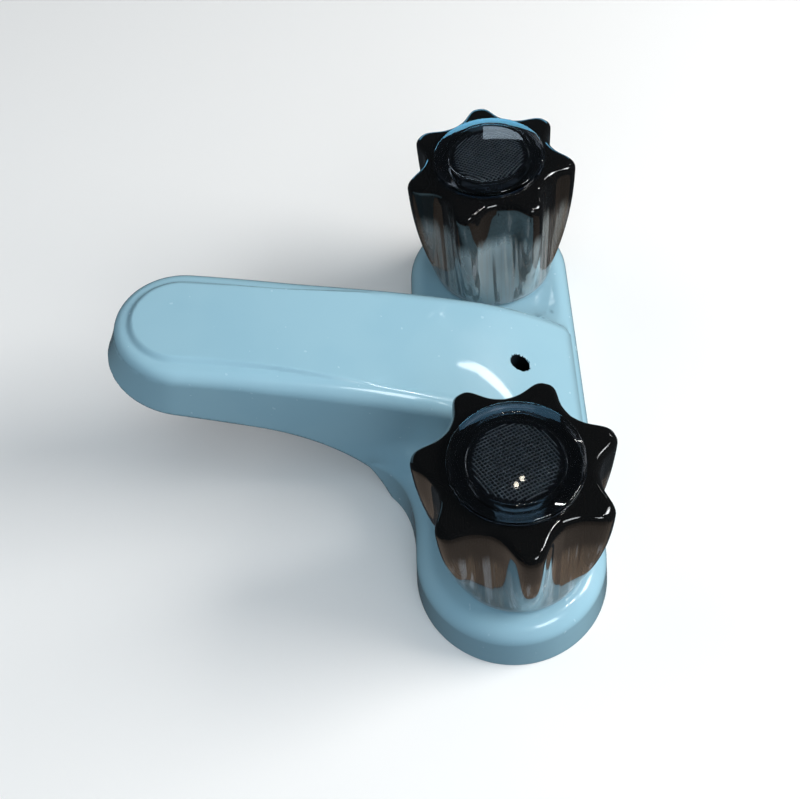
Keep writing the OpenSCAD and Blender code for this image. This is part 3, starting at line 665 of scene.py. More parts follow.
@dataclass(frozen=True)
class Side:
    """One handle's side: which valve it turns and where its lobes stand when closed."""

    label: str
    body: Body
    sign: int
    phase: float

    def shift(self, spacing: float) -> Matrix:
        """Move from the middle to the handle's axis, for a spacing in millimetres."""
        return Matrix.Translation((self.sign * spacing * MM, 0, 0))


SIDES = (Side("hot", Body.HOT, -1, 29.7), Side("cold", Body.COLD, 1, 4.0))


def solid_mesh(name: str, points: Array, faces: Sequence) -> bpy.types.Mesh:
    """Makes a smooth-shaded mesh.

    Args:
        name: Name of the mesh.
        points: Corners in millimetres.
        faces: Corner numbers of each face, in order as seen from outside.

    Returns:
        The mesh, in metres.
    """
    mesh = bpy.data.meshes.new(name)
    listed = [list(map(int, f)) for f in faces]
    mesh.from_pydata((np.asarray(points, float) * MM).tolist(), [], listed)
    mesh.polygons.foreach_set("use_smooth", [True] * len(mesh.polygons))
    mesh.update()
    return mesh


def place_piece(name: str, mesh: bpy.types.Mesh, finish: Finish, body: Body, replaced: str,
                inner: Finish | None = None) -> None:
    """Args:
        name: Name of the piece.
        mesh: Mesh with its place in it.
        finish: Finish of the faces.
        body: CAD body that the piece rides on.
        replaced: CAD node that the piece stands for.
        inner: Finish of the faces with the second material number.
    """
    numbers = [face.material_index if inner else 0 for face in mesh.polygons]
    mesh.materials.clear()
    for each in (finish, inner):
        if each is not None:
            mesh.materials.append(each.material())
    mesh.polygons.foreach_set("material_index", numbers)
    piece = bpy.data.objects.new(name, mesh)
    bpy.context.scene.collection.objects.link(piece)
    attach(piece, body.value)
    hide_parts(replaced)
    LOG.info("%s: %d faces, on %s, replaces %s", name, len(numbers), body.value, replaced)


def soften(corners: Sequence[tuple[float, ...]], steps: int = 4) -> Array:
    """Rounds the corners of a profile between its two ends.

    Args:
        corners: Radius and height of each corner, and the radius of its rounding if any.
        steps: Number of spans in a rounding.

    Returns:
        Radius and height of each point.
    """
    flat = np.array([c[:2] for c in corners], float)
    result: list[Array] = []
    for i, corner in enumerate(corners):
        if len(corner) < 3 or not 0 < i < len(flat) - 1:
            result.append(flat[i])
            continue
        back, ahead = flat[i - 1] - flat[i], flat[i + 1] - flat[i]
        reach = min(corner[2], *(MOST_OF_SIDE * np.linalg.norm(way) for way in (back, ahead)))
        start, end = (flat[i] + way / np.linalg.norm(way) * reach for way in (back, ahead))
        for t in np.arange(steps + 1) / steps:
            result.append((1 - t) ** 2 * start + 2 * t * (1 - t) * flat[i] + t * t * end)
    return np.array(result)


def turned(profile: Array, segments: int, closed: bool) -> tuple[Array, list]:
    """Turns a profile round the vertical axis.

    Args:
        profile: Radius and height of each point, inside to the left of its direction.
        segments: Number of spans round the axis.
        closed: Whether the profile is a loop; otherwise both its ends lie on the axis.

    Returns:
        Points and faces, pointing outwards.
    """
    body = profile if closed else profile[1:-1]
    around = np.arange(segments)
    ahead = (around + 1) % segments
    angles = around * (2 * math.pi / segments)
    points = np.stack([body[:, None, 0] * np.cos(angles), body[:, None, 0] * np.sin(angles),
                       np.broadcast_to(body[:, None, 1], (len(body), segments))], -1).reshape(-1, 3)
    faces: list = []
    for j in range(len(body) if closed else len(body) - 1):
        low, high = j * segments, (j + 1) % len(body) * segments
        faces += np.stack([low + around, low + ahead, high + ahead, high + around], -1).tolist()
    if not closed:
        first, top = len(points), (len(body) - 1) * segments
        points = np.concatenate([points, [[0, 0, profile[0, 1]], [0, 0, profile[-1, 1]]]])
        faces += [[first, b, a] for a, b in zip(around, ahead)]
        faces += [[first + 1, top + a, top + b] for a, b in zip(around, ahead)]
    return points, faces


# ---------------------------------------------------------------------------- moulded shell

def corner_fit(first: Array, second: Array, bend: Array | float) -> Array:
    """Distance to the overlap of two solids, with the edge where they meet rounded."""
    out = np.hypot(np.maximum(first + bend, 0), np.maximum(second + bend, 0))
    return np.minimum(np.maximum(first, second), -bend) + out


def melt(first: Array, second: Array, reach: Array | float) -> Array:
    """Distance to two solids joined by a fillet.

    Args:
        first: Distance to one solid, negative inside.
        second: Distance to the other.
        reach: How far the fillet reaches along each surface.

    Returns:
        Distance to the joined solid.
    """
    reach = np.maximum(reach, LEAST_REACH)
    share = np.maximum(reach - np.abs(first - second), 0) / reach
    return np.minimum(first, second) - share * share * reach / 4


def share_of(value: Array, low: float, high: float) -> Array:
    """Share of the way from low to high, held at the ends."""
    return np.clip((value - low) / (high - low), 0, 1)


def ramp(value: Array, low: float, high: float) -> Array:
    """Smooth step from 0 at low to 1 at high."""
    t = share_of(value, low, high)
    return t * t * (3 - 2 * t)


def uneven_lines(spans: Grid) -> Array:
    """Grid lines over spans that follow each other, each with a start, an end and a pitch."""
    lines = [np.linspace(a, b, max(2, round((b - a) / pitch) + 1))[:-1] for a, b, pitch in spans]
    return np.concatenate([*lines, [spans[-1][1]]])


@dataclass
class MouldedShell:
    """One-piece shell: stadium-shaped base, rising spout with a raised panel, hollow below.

    A size in _y or _z is a place along that axis, and a Span is where a change starts and ends
    along y, or along z for the roof.
    """

    # Base, and the webs that run from it into the spout's sides
    half_spacing: float = 50.8
    end_r: float = 26.5
    base_h: float = 16.5
    base_round: float = 5.0
    base_lean: float = 0.078
    base_y: float = -1.8
    web_reach: float = 25.0
    web_front_y: float = -50.0
    web_inset: float = 0.4
    fillet: float = 9.0
    fillet_most: float = 1.15
    fillet_fade: float = 1.4
    probe: float = 0.25
    # Spout
    reach: float = 108.6
    tip_r: float = 18.6
    root_r: float = 21.9
    tip_lean: float = 5.0
    flare: float = 0.6
    crown_y: float = -8.0
    crown_z: float = 36.4
    crown_angle: float = math.radians(22.5)
    steepest: float = 0.98
    front_r: float = 450.0
    rear_r: float = 100.0
    back_y: float = 22.3
    back_round: float = 3.0
    top_round: float = 3.4
    top_round_gain: float = 1.8
    top_round_span: Span = (-90.0, -20.0)
    side_drop: float = 4.6
    under_angle: float = math.radians(21.8)
    under_z: float = 42.0
    under_r: float = 58.4
    under_round: float = 1.6
    root_y: float = -33.0
    # Raised panel and the border around it
    panel_end_y: float = -40.5
    panel_end_r: float = 16.3
    border_w: float = 5.3
    border_taper: float = 1.6
    border_span: Span = (-60.0, -32.0)
    border_slope: float = 0.11
    border_most: float = 6.0
    border_fade: Span = (-40.0, -16.0)
    step_h: float = 1.25
    step_drop: float = 0.93
    step_span: Span = (-62.0, -27.0)
    step_fade: Span = (-30.0, -12.0)
    step_w: float = 1.15
    step_narrowing: float = 0.45
    narrowing_span: Span = (-84.0, -58.0)
    step_widening: float = 1.6
    widening_span: Span = (-38.0, -28.0)
    # Inside: wall, roof, the rod's guide, the cover's screw bosses and the holes
    wall: float = 3.0
    roof_gain: float = 0.9
    roof_span: Span = (20.0, 30.0)
    inner_round: float = 0.6
    handle_hole_r: float = 11.7
    handle_hole_round: float = 0.5
    rod_r: float = 2.7
    rod_y: float = 4.9
    rod_round: float = 0.3
    bore_margin: float = 0.1
    bore_tilt: float = 0.8
    guide_wall: float = 1.8
    guide_z: float = 17.0
    boss_x: float = 11.6
    boss_y: float = -62.0
    boss_r: float = 3.4
    boss_z: float = 33.3
    cavity_z: float = 6.0
    # Grid lines that the surface is found on: start, end and pitch of each stretch
    grid_x: Grid = ((0, 4.4, 0.42), (4.4, 9, 0.9), (9, 21.6, 0.46), (21.6, 79.2, 1.2))
    grid_y: Grid = ((-110, -86, 0.6), (-86, 0.6, 1.05), (0.6, 9.2, 0.42), (9.2, 26.4, 1.0))
    grid_z: Grid = ((-2.2, 10.4, 1.4), (10.4, 18.2, 0.75), (18.2, 67, 0.95))
    grid_parts: int = 12
    settle_rounds: int = 5
    settle_step: float = 0.4
    flattest: float = 0.2
    slope_probe: float = 0.04

    @property
    def tip_y(self) -> float:
        """Centre of the round tip."""
        return self.tip_r - self.reach

    @property
    def root_arc(self) -> Span:
        """Centre, along y and z, of the arc where the underside turns down to the base."""
        y = self.root_y - self.under_r
        return y, self.underline(y) - self.under_r / math.cos(self.under_angle)

    def half_width(self, y: Array) -> Array:
        """Half width of the spout's side at a place along it."""
        return self.tip_r + (self.root_r - self.tip_r) * ((y - self.tip_y) / self.tip_y) ** 2

    def crest(self, y: Array) -> tuple[Array, Array]:
        """Height of the top on its middle line, and the cosine of its slope there.

        Args:
            y: Places along the spout.

        Returns:
            Both at each place.
        """
        bend = np.where(y < self.crown_y, self.front_r, self.rear_r)
        sine = np.clip(math.sin(self.crown_angle) + (y - self.crown_y) / bend,
                       -self.steepest, self.steepest)
        cosine = np.sqrt(1 - sine * sine)
        return self.crown_z + bend * (cosine - math.cos(self.crown_angle)), cosine

    def underline(self, y: Array) -> Array:
        """Height of the straight part of the underside."""
        return self.under_z + (self.tip_y - y) * math.tan(self.under_angle)

    def below(self, y: Array, z: Array) -> Array:
        """Distance to the space under the spout's underside, positive in that space.

        Args:
            y: Places along the spout.
            z: Heights.

        Returns:
            Distance at each place.
        """
        cy, cz = self.root_arc
        straight = (self.underline(y) - z) * math.cos(self.under_angle)
        round_part = self.under_r - np.hypot(y - cy, z - cz)
        return np.where(np.arctan2(y - cy, z - cz) > self.under_angle, round_part, straight)

    def level(self, y: Array, z: Array) -> Array:
        """Share of the way up the spout's side wall, from 0 to 1.

        Args:
            y: Places along the spout.
            z: Heights.

        Returns:
            Share at each place.
        """
        cy, cz = self.root_arc
        turn_y = cy + self.under_r * math.sin(self.under_angle)
        arc = cz + np.sqrt(np.maximum(self.under_r ** 2 - (y - cy) ** 2, 0))
        low = np.where(y < turn_y, self.underline(y), np.maximum(arc, 0))
        return np.clip((z - low) / np.maximum(self.crest(y)[0] - self.side_drop - low, 1), 0, 1)

    def side(self, x: Array, y: Array, share: Array | float) -> Array:
        """Plan distance to the spout's outline at a share of the way up, negative inside.

        Args:
            x: Places across the spout.
            y: Places along the spout.
            share: Share of the way up the side wall.

        Returns:
            Distance at each place.
        """
        centre = self.tip_y + self.tip_lean * share
        flare = self.flare * (1 - share)
        along = np.abs(x) - self.half_width(np.maximum(y, centre))
        tip = np.hypot(x, y - centre) - self.half_width(centre)
        return np.where(y >= centre, along, tip) - flare

    def top(self, x: Array, y: Array) -> tuple[Array, Array]:
        """Height of the spout's top with its raised panel, and the cosine of its slope.

        Args:
            x: Places across the spout.
            y: Places along the spout.

        Returns:
            Both at each place.
        """
        crest, cosine = self.crest(y)
        inside = -self.side(x, y, 1.0)
        border = self.border_w - self.border_taper * share_of(y, *self.border_span)
        panel = inside - border
        end = self.panel_end_r - np.hypot(x, y - self.panel_end_y)
        panel = np.where(y > self.panel_end_y, np.minimum(panel, end), panel)
        step = (self.step_h * (1 - ramp(y, *self.step_span) * self.step_drop)
                * (1 - ramp(y, *self.step_fade)))
        width = (self.step_w - self.step_narrowing * ramp(y, *self.narrowing_span)
                 + self.step_widening * ramp(y, *self.widening_span))
        slope = (self.border_slope * np.clip(border - inside, 0, self.border_most)
                 * (1 - ramp(y, *self.border_fade)))
        return crest - step * (1 - ramp(panel, -width, width)) - slope, cosine

    def spout(self, x: Array, y: Array, z: Array) -> Array:
        """Distance to the spout, uncut below.

        Args:
            x: Places across the spout.
            y: Places along the spout.
            z: Heights.

        Returns:
            Distance at each place, negative inside.
        """
        top, cosine = self.top(x, y)
        bend = self.top_round + self.top_round_gain * ramp(y, *self.top_round_span)
        body = corner_fit(self.side(x, y, self.level(y, z)), (z - top) * cosine, bend)
        return corner_fit(body, y - self.back_y, self.back_round)

    def base(self, x: Array, y: Array, z: Array) -> Array:
        """Distance to the base with the webs that run into the spout's sides.

        Args:
            x: Places along the base.
            y: Places across the base.
            z: Heights.

        Returns:
            Distance at each place, negative inside.
        """
        plan = np.hypot(np.maximum(np.abs(x) - self.half_spacing, 0), y - self.base_y) - self.end_r
        web = np.maximum(np.abs(x) - self.half_width(y), np.maximum(self.web_front_y - y, y))
        plan = melt(plan, web + self.web_inset, self.web_reach) + self.base_lean * np.maximum(z, 0)
        return corner_fit(plan, z - self.base_h, self.base_round)

    def outside(self, p: Array) -> Array:
        """Distance to the whole form, uncut below.

        Args:
            p: Points, one per row.

        Returns:
            Distance of each point, negative inside.
        """
        def pair(q: Array) -> tuple[Array, Array]:
            """Distances to the spout and to the base."""
            return self.spout(*q.T), self.base(*q.T)

        spout, base = pair(p)
        near = np.abs(spout - base) < self.fillet
        reach = np.zeros(len(p))
        if near.any():
            q, here = p[near], (spout[near], base[near])
            slopes = []
            for axis in range(3):
                moved = q.copy()
                moved[:, axis] += self.probe
                slopes.append([(a - b) / self.probe for a, b in zip(pair(moved), here)])
            dots = sum(s[0] * s[1] for s in slopes)
            size = np.sqrt(sum(s[0] ** 2 for s in slopes) * sum(s[1] ** 2 for s in slopes))
            facing = np.maximum(dots / (size + TINY), 0)
            reach[near] = self.fillet * np.clip(self.fillet_most - self.fillet_fade * facing, 0, 1)
        return melt(spout, base, reach)

    def shell(self, p: Array) -> Array:
        """Distance to the finished shell: hollow, with its holes, guide and bosses.

        Args:
            p: Points, one per row.

        Returns:
            Distance of each point, negative inside the wall.
        """
        x, y, z = p.T
        from_rod = np.hypot(x, y - self.rod_y)
        form = self.outside(p)
        hollow = form + self.wall + self.roof_gain * ramp(z, *self.roof_span)
        guide = np.maximum(from_rod - self.rod_r - self.guide_wall, self.guide_z - z)
        boss = np.maximum(np.hypot(np.abs(x) - self.boss_x, y - self.boss_y) - self.boss_r,
                          self.boss_z - z)
        hollow = np.maximum(hollow, -np.minimum(guide, boss))
        body = corner_fit(form, self.below(y, z), self.under_round)
        body = corner_fit(body, -hollow, self.inner_round)
        body = corner_fit(body, self.rod_r - from_rod, self.rod_round)
        taps = self.handle_hole_r - np.hypot(np.abs(x) - self.half_spacing, y)
        return corner_fit(body, np.minimum(taps, z - self.cavity_z), self.handle_hole_round)

    def slope(self, points: Array) -> tuple[Array, Array]:
        """Value and gradient of the shell's distance.

        Args:
            points: Points, one per row.

        Returns:
            Value at each point and its gradient.
        """
        slope = np.empty_like(points)
        for axis in range(3):
            shift = np.zeros(3)
            shift[axis] = self.slope_probe
            change = self.shell(points + shift) - self.shell(points - shift)
            slope[:, axis] = change / (2 * self.slope_probe)
        return self.shell(points), slope

    def nets(self) -> tuple[Array, Array]:
        """Draws the shell's surface as quads between uneven grid lines.

        Returns:
            Points in millimetres and the four corners of each face.
        """
        half = uneven_lines(self.grid_x)
        lines = (np.concatenate([-half[:0:-1], half]), uneven_lines(self.grid_y),
                 uneven_lines(self.grid_z))
        grid = np.stack(np.meshgrid(*lines, indexing="ij"), -1)
        parts = np.array_split(grid.reshape(-1, 3), self.grid_parts)
        values = np.concatenate([self.shell(part) for part in parts]).reshape(grid.shape[:3])
        values[np.abs(values) < TINY] = TINY
        return surface_nets(values, lines)

    def bore_faces(self, mesh: bpy.types.Mesh) -> None:
        """Gives the lift rod's bore and the guide's lower end the second material, which paints
        them near-black as painted shade.

        Args:
            mesh: The shell's mesh, in metres.
        """
        for face in mesh.polygons:
            x, y, _ = (c / MM for c in face.center)
            y -= self.rod_y
            inwards = face.normal.x * x + face.normal.y * y < 0
            near = math.hypot(x, y) < self.rod_r + self.bore_margin
            if near and inwards and abs(face.normal.z) < self.bore_tilt:
                face.material_index = 1

    def mesh(self) -> bpy.types.Mesh:
        """Makes the shell's mesh, with its floor cut flat and exact normals.

        Returns:
            The mesh, in metres.
        """
        points, quads = self.nets()
        for _ in range(self.settle_rounds):
            value, slope = self.slope(points)
            step = -(value / np.maximum((slope ** 2).sum(1), self.flattest))[:, None] * slope
            size = np.linalg.norm(step, axis=1, keepdims=True)
            points = points + step * np.minimum(1, self.settle_step / np.maximum(size, TINY))
        mesh = solid_mesh("moulded_shell", points, quads)
        cut_floor(mesh)
        slope = self.slope(read_all(mesh.vertices, "co", 3) / MM)[1]
        set_normals(mesh, slope / np.maximum(np.linalg.norm(slope, axis=1, keepdims=True), TINY))
        self.bore_faces(mesh)
        return mesh


def surface_nets(values: Array, lines: tuple[Array, Array, Array]) -> tuple[Array, Array]:
    """Finds the surface where a sampled distance changes sign.

    Args:
        values: Distance on every grid point.
        lines: Places of the grid lines along each axis.

    Returns:
        One point in each cell that the surface crosses, and quads that join them.
    """
    inside = values < 0
    cells = tuple(n - 1 for n in values.shape)
    corners = [(i, j, k) for i in (0, 1) for j in (0, 1) for k in (0, 1)]

    def shifted(data: Array, corner: tuple[int, int, int]) -> Array:
        """Values at one corner of every cell."""
        return data[tuple(slice(c, c + n) for c, n in zip(corner, cells))]

    count = sum(shifted(inside, c).astype(np.int8) for c in corners)
    crossed = np.argwhere((count > 0) & (count < 8))
    number = np.full(cells, -1, np.int64)
    number[tuple(crossed.T)] = np.arange(len(crossed))
    total, hits = np.zeros((len(crossed), 3)), np.zeros(len(crossed))
    for axis in range(3):
        others = [a for a in range(3) if a != axis]
        for u in (0, 1):
            for v in (0, 1):
                start = crossed.copy()
                start[:, others[0]] += u
                start[:, others[1]] += v
                end = start.copy()
                end[:, axis] += 1
                a, b = values[tuple(start.T)], values[tuple(end.T)]
                change = (a < 0) != (b < 0)
                t = np.where(change, a / np.where(change, a - b, 1), 0)
                spot = np.stack([lines[d][start[:, d]] for d in range(3)], -1)
                spot[:, axis] += t * (lines[axis][end[:, axis]] - lines[axis][start[:, axis]])
                total += spot * change[:, None]
                hits += change
    points = total / hits[:, None]
    quads = []
    for axis in range(3):
        u, v = [(1, 2), (2, 0), (0, 1)][axis]
        low, high = [slice(None)] * 3, [slice(None)] * 3
        low[axis], high[axis] = slice(0, -1), slice(1, None)
        edge = np.argwhere(inside[tuple(low)] != inside[tuple(high)])
        for side in (u, v):
            edge = edge[(edge[:, side] > 0) & (edge[:, side] < cells[side])]
        ring = []
        for du, dv in ((-1, -1), (0, -1), (0, 0), (-1, 0)):
            cell = edge.copy()
            cell[:, u] += du
            cell[:, v] += dv
            ring.append(number[tuple(cell.T)])
        quad = np.stack(ring, -1)
        filled = inside[tuple(edge.T)]
        quads.append(np.where(filled[:, None], quad, quad[:, ::-1]))
    return points, np.concatenate(quads)


def cut_floor(mesh: bpy.types.Mesh) -> None:
    """Cuts a mesh off at the deck plane and closes the cut with flat faces.

    Args:
        mesh: Mesh that reaches below the plane.
    """
    bm = bmesh.new()
    bm.from_mesh(mesh)
    bmesh.ops.bisect_plane(bm, geom=bm.verts[:] + bm.edges[:] + bm.faces[:], plane_co=(0, 0, 0),
                           plane_no=(0, 0, -1), clear_outer=True)
    rim = [e for e in bm.edges if e.is_boundary]
    filled = bmesh.ops.triangle_fill(bm, use_beauty=True, use_dissolve=False, edges=rim,
                                     normal=(0, 0, -1))
    for face in filled["geom"]:
        if isinstance(face, bmesh.types.BMFace):
            face.smooth = True
            if face.normal.z > 0:
                face.normal_flip()
    bm.to_mesh(mesh)
    bm.free()


def read_all(items: bpy.types.bpy_prop_collection, label: str, width: int = 1,
             kind: type = float) -> Array:
    """Reads one value of every item, as one row each where it has several numbers.

    Args:
        items: Vertices, faces or corners of a mesh.
        label: Name of the value.
        width: How many numbers each value has.
        kind: Type of the numbers.

    Returns:
        The values in order.
    """
    values = np.empty(len(items) * width, kind)
    items.foreach_get(label, values)
    return values.reshape(-1, width) if width > 1 else values


def set_normals(mesh: bpy.types.Mesh, normals: Array) -> None:
    """Gives every corner the exact normal of the form.

    A corner keeps its face's own normal on the flat floor, and where the two are far apart.

    Args:
        mesh: Mesh to shade.
        normals: Normal of each vertex.
    """
    faces = mesh.polygons
    face = np.repeat(np.arange(len(faces)), read_all(faces, "loop_total", 1, np.int32))
    own = read_all(faces, "normal", 3)[face]
    corner = normals[read_all(mesh.loops, "vertex_index", 1, np.int32)]
    floor = (read_all(faces, "center", 3)[face, 2] < TINY) & (own[:, 2] < -FLOOR_COSINE)
    apart = (corner * own).sum(1) < APART_COSINE
    corner = np.where((floor | apart)[:, None], own, corner)
    mesh.normals_split_custom_set(corner.tolist())


# ------------------------------------------------------------------------- knobs and caps

class Ring(NamedTuple):
    """One ring of a knob's blank: its place, and the marks that the lobe rule reads."""

    radius: float
    height: float
    rise: float = 0.0
    bend: float = 0.0
    span: float = 0.0
    worked: float = 0.0
    flute: float = 0.0


MARKS = Ring._fields[2:]


@dataclass
class LobedKnob:
    """Smoke acrylic knob: solid lobed top, hollow fluted skirt, hub and cap recess."""

    # Lobed outside
    lobes: int = 7
    tip_r: float = 24.8
    valley_r: float = 18.6
    skirt_r: float = 18.9
    crown_r: float = 16.4
    skirt_z: float = 18.0
    rim_z: float = 17.5
    top_z: float = 60.8
    top_slope: float = 0.11
    edge_round: float = 2.6
    half_angle: float = 10.8
    sharpness: float = 3.0
    # Hollow, hub, screw hole and cap recess
    flutes: int = 35
    flute_depth: float = 0.6
    flute_fade: float = 5.0
    hollow_r: float = 16.2
    hollow_top_r: float = 15.0
    hollow_top_z: float = 46.0
    hub_r: float = 9.0
    hub_z: float = 31.0
    insert_r: float = 6.45
    screw_r: float = 2.4
    screw_seat_z: float = 50.0
    pocket_r: float = 5.0
    recess_r: float = 15.0
    recess_z: float = 57.0
    # Rings of the blank
    segments: int = 280
    wall_rings: int = 19
    edge_rings: int = 7
    top_spans: tuple[float, ...] = (0.8, 0.6, 0.4, 0.2, 0.0)
    hollow_rings: int = 8
    sharp_angle: float = math.radians(50)

    def rings(self) -> list[Ring]:
        """Rings of the blank: up the outside, over the top, down the inside and round the rim.

        The recess, screw hole and hub are listed as corners with their roundings, and the rim's
        foot as radii with their heights above it.

        Returns:
            The rings in order; the last one joins the first.
        """
        rings = [Ring(self.skirt_r, self.skirt_z, rise, span=1, worked=1)
                 for rise in np.linspace(0, 1, self.wall_rings)]
        rings += [Ring(self.skirt_r, self.top_z, 1, bend, 1, 1)
                  for bend in np.linspace(0, 1, self.edge_rings + 1)[1:]]
        rings += [Ring(self.skirt_r, self.top_z, 1, 1, span, 1) for span in self.top_spans]
        rings += [Ring(r, z) for r, z in soften([
            (self.crown_r - 0.3, self.top_z), (self.recess_r, self.top_z, 0.35),
            (self.recess_r, self.recess_z, 0.4), (self.pocket_r, self.recess_z, 0.4),
            (self.pocket_r, self.screw_seat_z, 0.3), (self.screw_r, self.screw_seat_z, 0.2),
            (self.screw_r, self.hollow_top_z, 0.2), (self.insert_r, self.hollow_top_z, 0.2),
            (self.insert_r, self.hub_z, 0.4), (self.hub_r, self.hub_z, 0.6),
            (self.hub_r, self.hollow_top_z, 0.8)], 3)]
        rings += [Ring(self.hub_r + 1.0, self.hollow_top_z),
                  Ring(self.hollow_top_r - 1.6, self.hollow_top_z),
                  Ring(self.hollow_top_r - 0.3, self.hollow_top_z - 0.3, flute=0.2)]
        for share in np.linspace(0.04, 0.94, self.hollow_rings):
            rings.append(Ring(self.hollow_top_r + (self.hollow_r - self.hollow_top_r) * share,
                              self.hollow_top_z + (self.rim_z - self.hollow_top_z) * share,
                              flute=min(1.0, (1 - share) * self.flute_fade)))
        rim = ((self.hollow_r, 0.5), (self.hollow_r + 0.15, 0.12), (self.hollow_r + 0.5, 0.0),
               (self.skirt_r - 0.6, 0.0), (self.skirt_r - 0.2, 0.1), (self.skirt_r - 0.03, 0.3))
        return rings + [Ring(r, self.rim_z + lift) for r, lift in rim]

    def blank(self, name: str) -> bpy.types.Mesh:
        """Turns the plain blank that the lobe rule works on.

        Args:
            name: Name of the mesh.

        Returns:
            A closed ring-shaped mesh whose points carry the marks.
        """
        table = np.array(self.rings())
        points, faces = turned(table[:, :2], self.segments, True)
        mesh = solid_mesh(name, points, faces)
        for column, label in enumerate(MARKS, start=2):
            mark = mesh.attributes.new(label, "FLOAT", "POINT")
            mark.data.foreach_set("value", np.repeat(table[:, column], self.segments))
        return mesh

    def rule(self, name: str, phase: float) -> bpy.types.Mesh:
        """Works lobes and flutes into the blank with Geometry Nodes.

        Args:
            name: Name of the mesh.
            phase: Turn of the first lobe, in degrees.

        Returns:
            The finished mesh about its own axis, in metres.
        """
        tree = RuleTree(name + "_rule")
        (lobes, turn, half_angle, sharpness, tip, valley, skirt, crown, foot, top, slope, edge,
         flutes, depth) = tree.named({
             "Lobes": self.lobes, "Phase": math.radians(phase),
             "Lobe Half Angle": math.radians(self.half_angle), "Sharpness": self.sharpness,
             "Tip Radius": self.tip_r * MM, "Valley Radius": self.valley_r * MM,
             "Skirt Radius": self.skirt_r * MM, "Crown Radius": self.crown_r * MM,
             "Skirt Height": self.skirt_z * MM, "Top Height": self.top_z * MM,
             "Top Slope": self.top_slope, "Edge Rounding": self.edge_round * MM,
             "Flutes": self.flutes, "Flute Depth": self.flute_depth * MM})
        rise, bend, span, worked, flute = map(tree.mark, MARKS)
        spot = tree.add("GeometryNodeInputPosition")
        x, y, z = (tree.axis(spot, number) for number in range(3))
        plain = (x * x + y * y) ** 0.5
        angle = y.maths("ARCTAN2", x)
        spread = math.pi / lobes
        from_lobe = abs((angle - turn + spread) % (spread * 2) - spread)
        share = 1 / ((from_lobe / half_angle) ** sharpness + 1)
        low = skirt + (valley - skirt) * rise
        high = skirt + (tip - skirt) * (1 - (1 - rise) ** 2)
        wall = low + (high - low) * share
        wall_top = valley + (tip - valley) * share
        rounding = edge.maths("MINIMUM", wall_top - crown)
        flat = wall_top - crown - rounding
        shoulder = top - slope * flat - rounding
        quarter = bend * (math.pi / 2)
        ruled_r = crown + flat * span + rounding * quarter.cos() + wall - wall_top
        ruled_z = (foot + (shoulder - foot) * rise + rounding * quarter.sin()
                   + slope * flat * (1 - span))
        fluted = plain - flute * depth * (1 - (angle * flutes).cos()) * 0.5
        radius = worked.blend(fluted, ruled_r)
        moved = tree.add("GeometryNodeSetPosition", None, {
            "Geometry": tree.blank(),
            "Position": tree.vector(angle.cos() * radius, angle.sin() * radius,
                                    worked.blend(z, ruled_z))})
        mesh = tree.shape(name, moved, SMOKE.material(), self.blank(name + "_blank"))
        for label in MARKS:
            mesh.attributes.remove(mesh.attributes[label])
        return mesh

    def build(self, side: Side, spacing: float) -> None:
        """Makes one side's knob.

        Args:
            side: Which handle.
            spacing: Distance of its axis from the middle.
        """
        name = side.label + "_lobed_knob"
        mesh = self.rule(name, side.phase)
        mesh.transform(side.shift(spacing))
        mesh.set_sharp_from_angle(angle=self.sharp_angle)
        place_piece(name, mesh, SMOKE, side.body, side.label + "_handle")


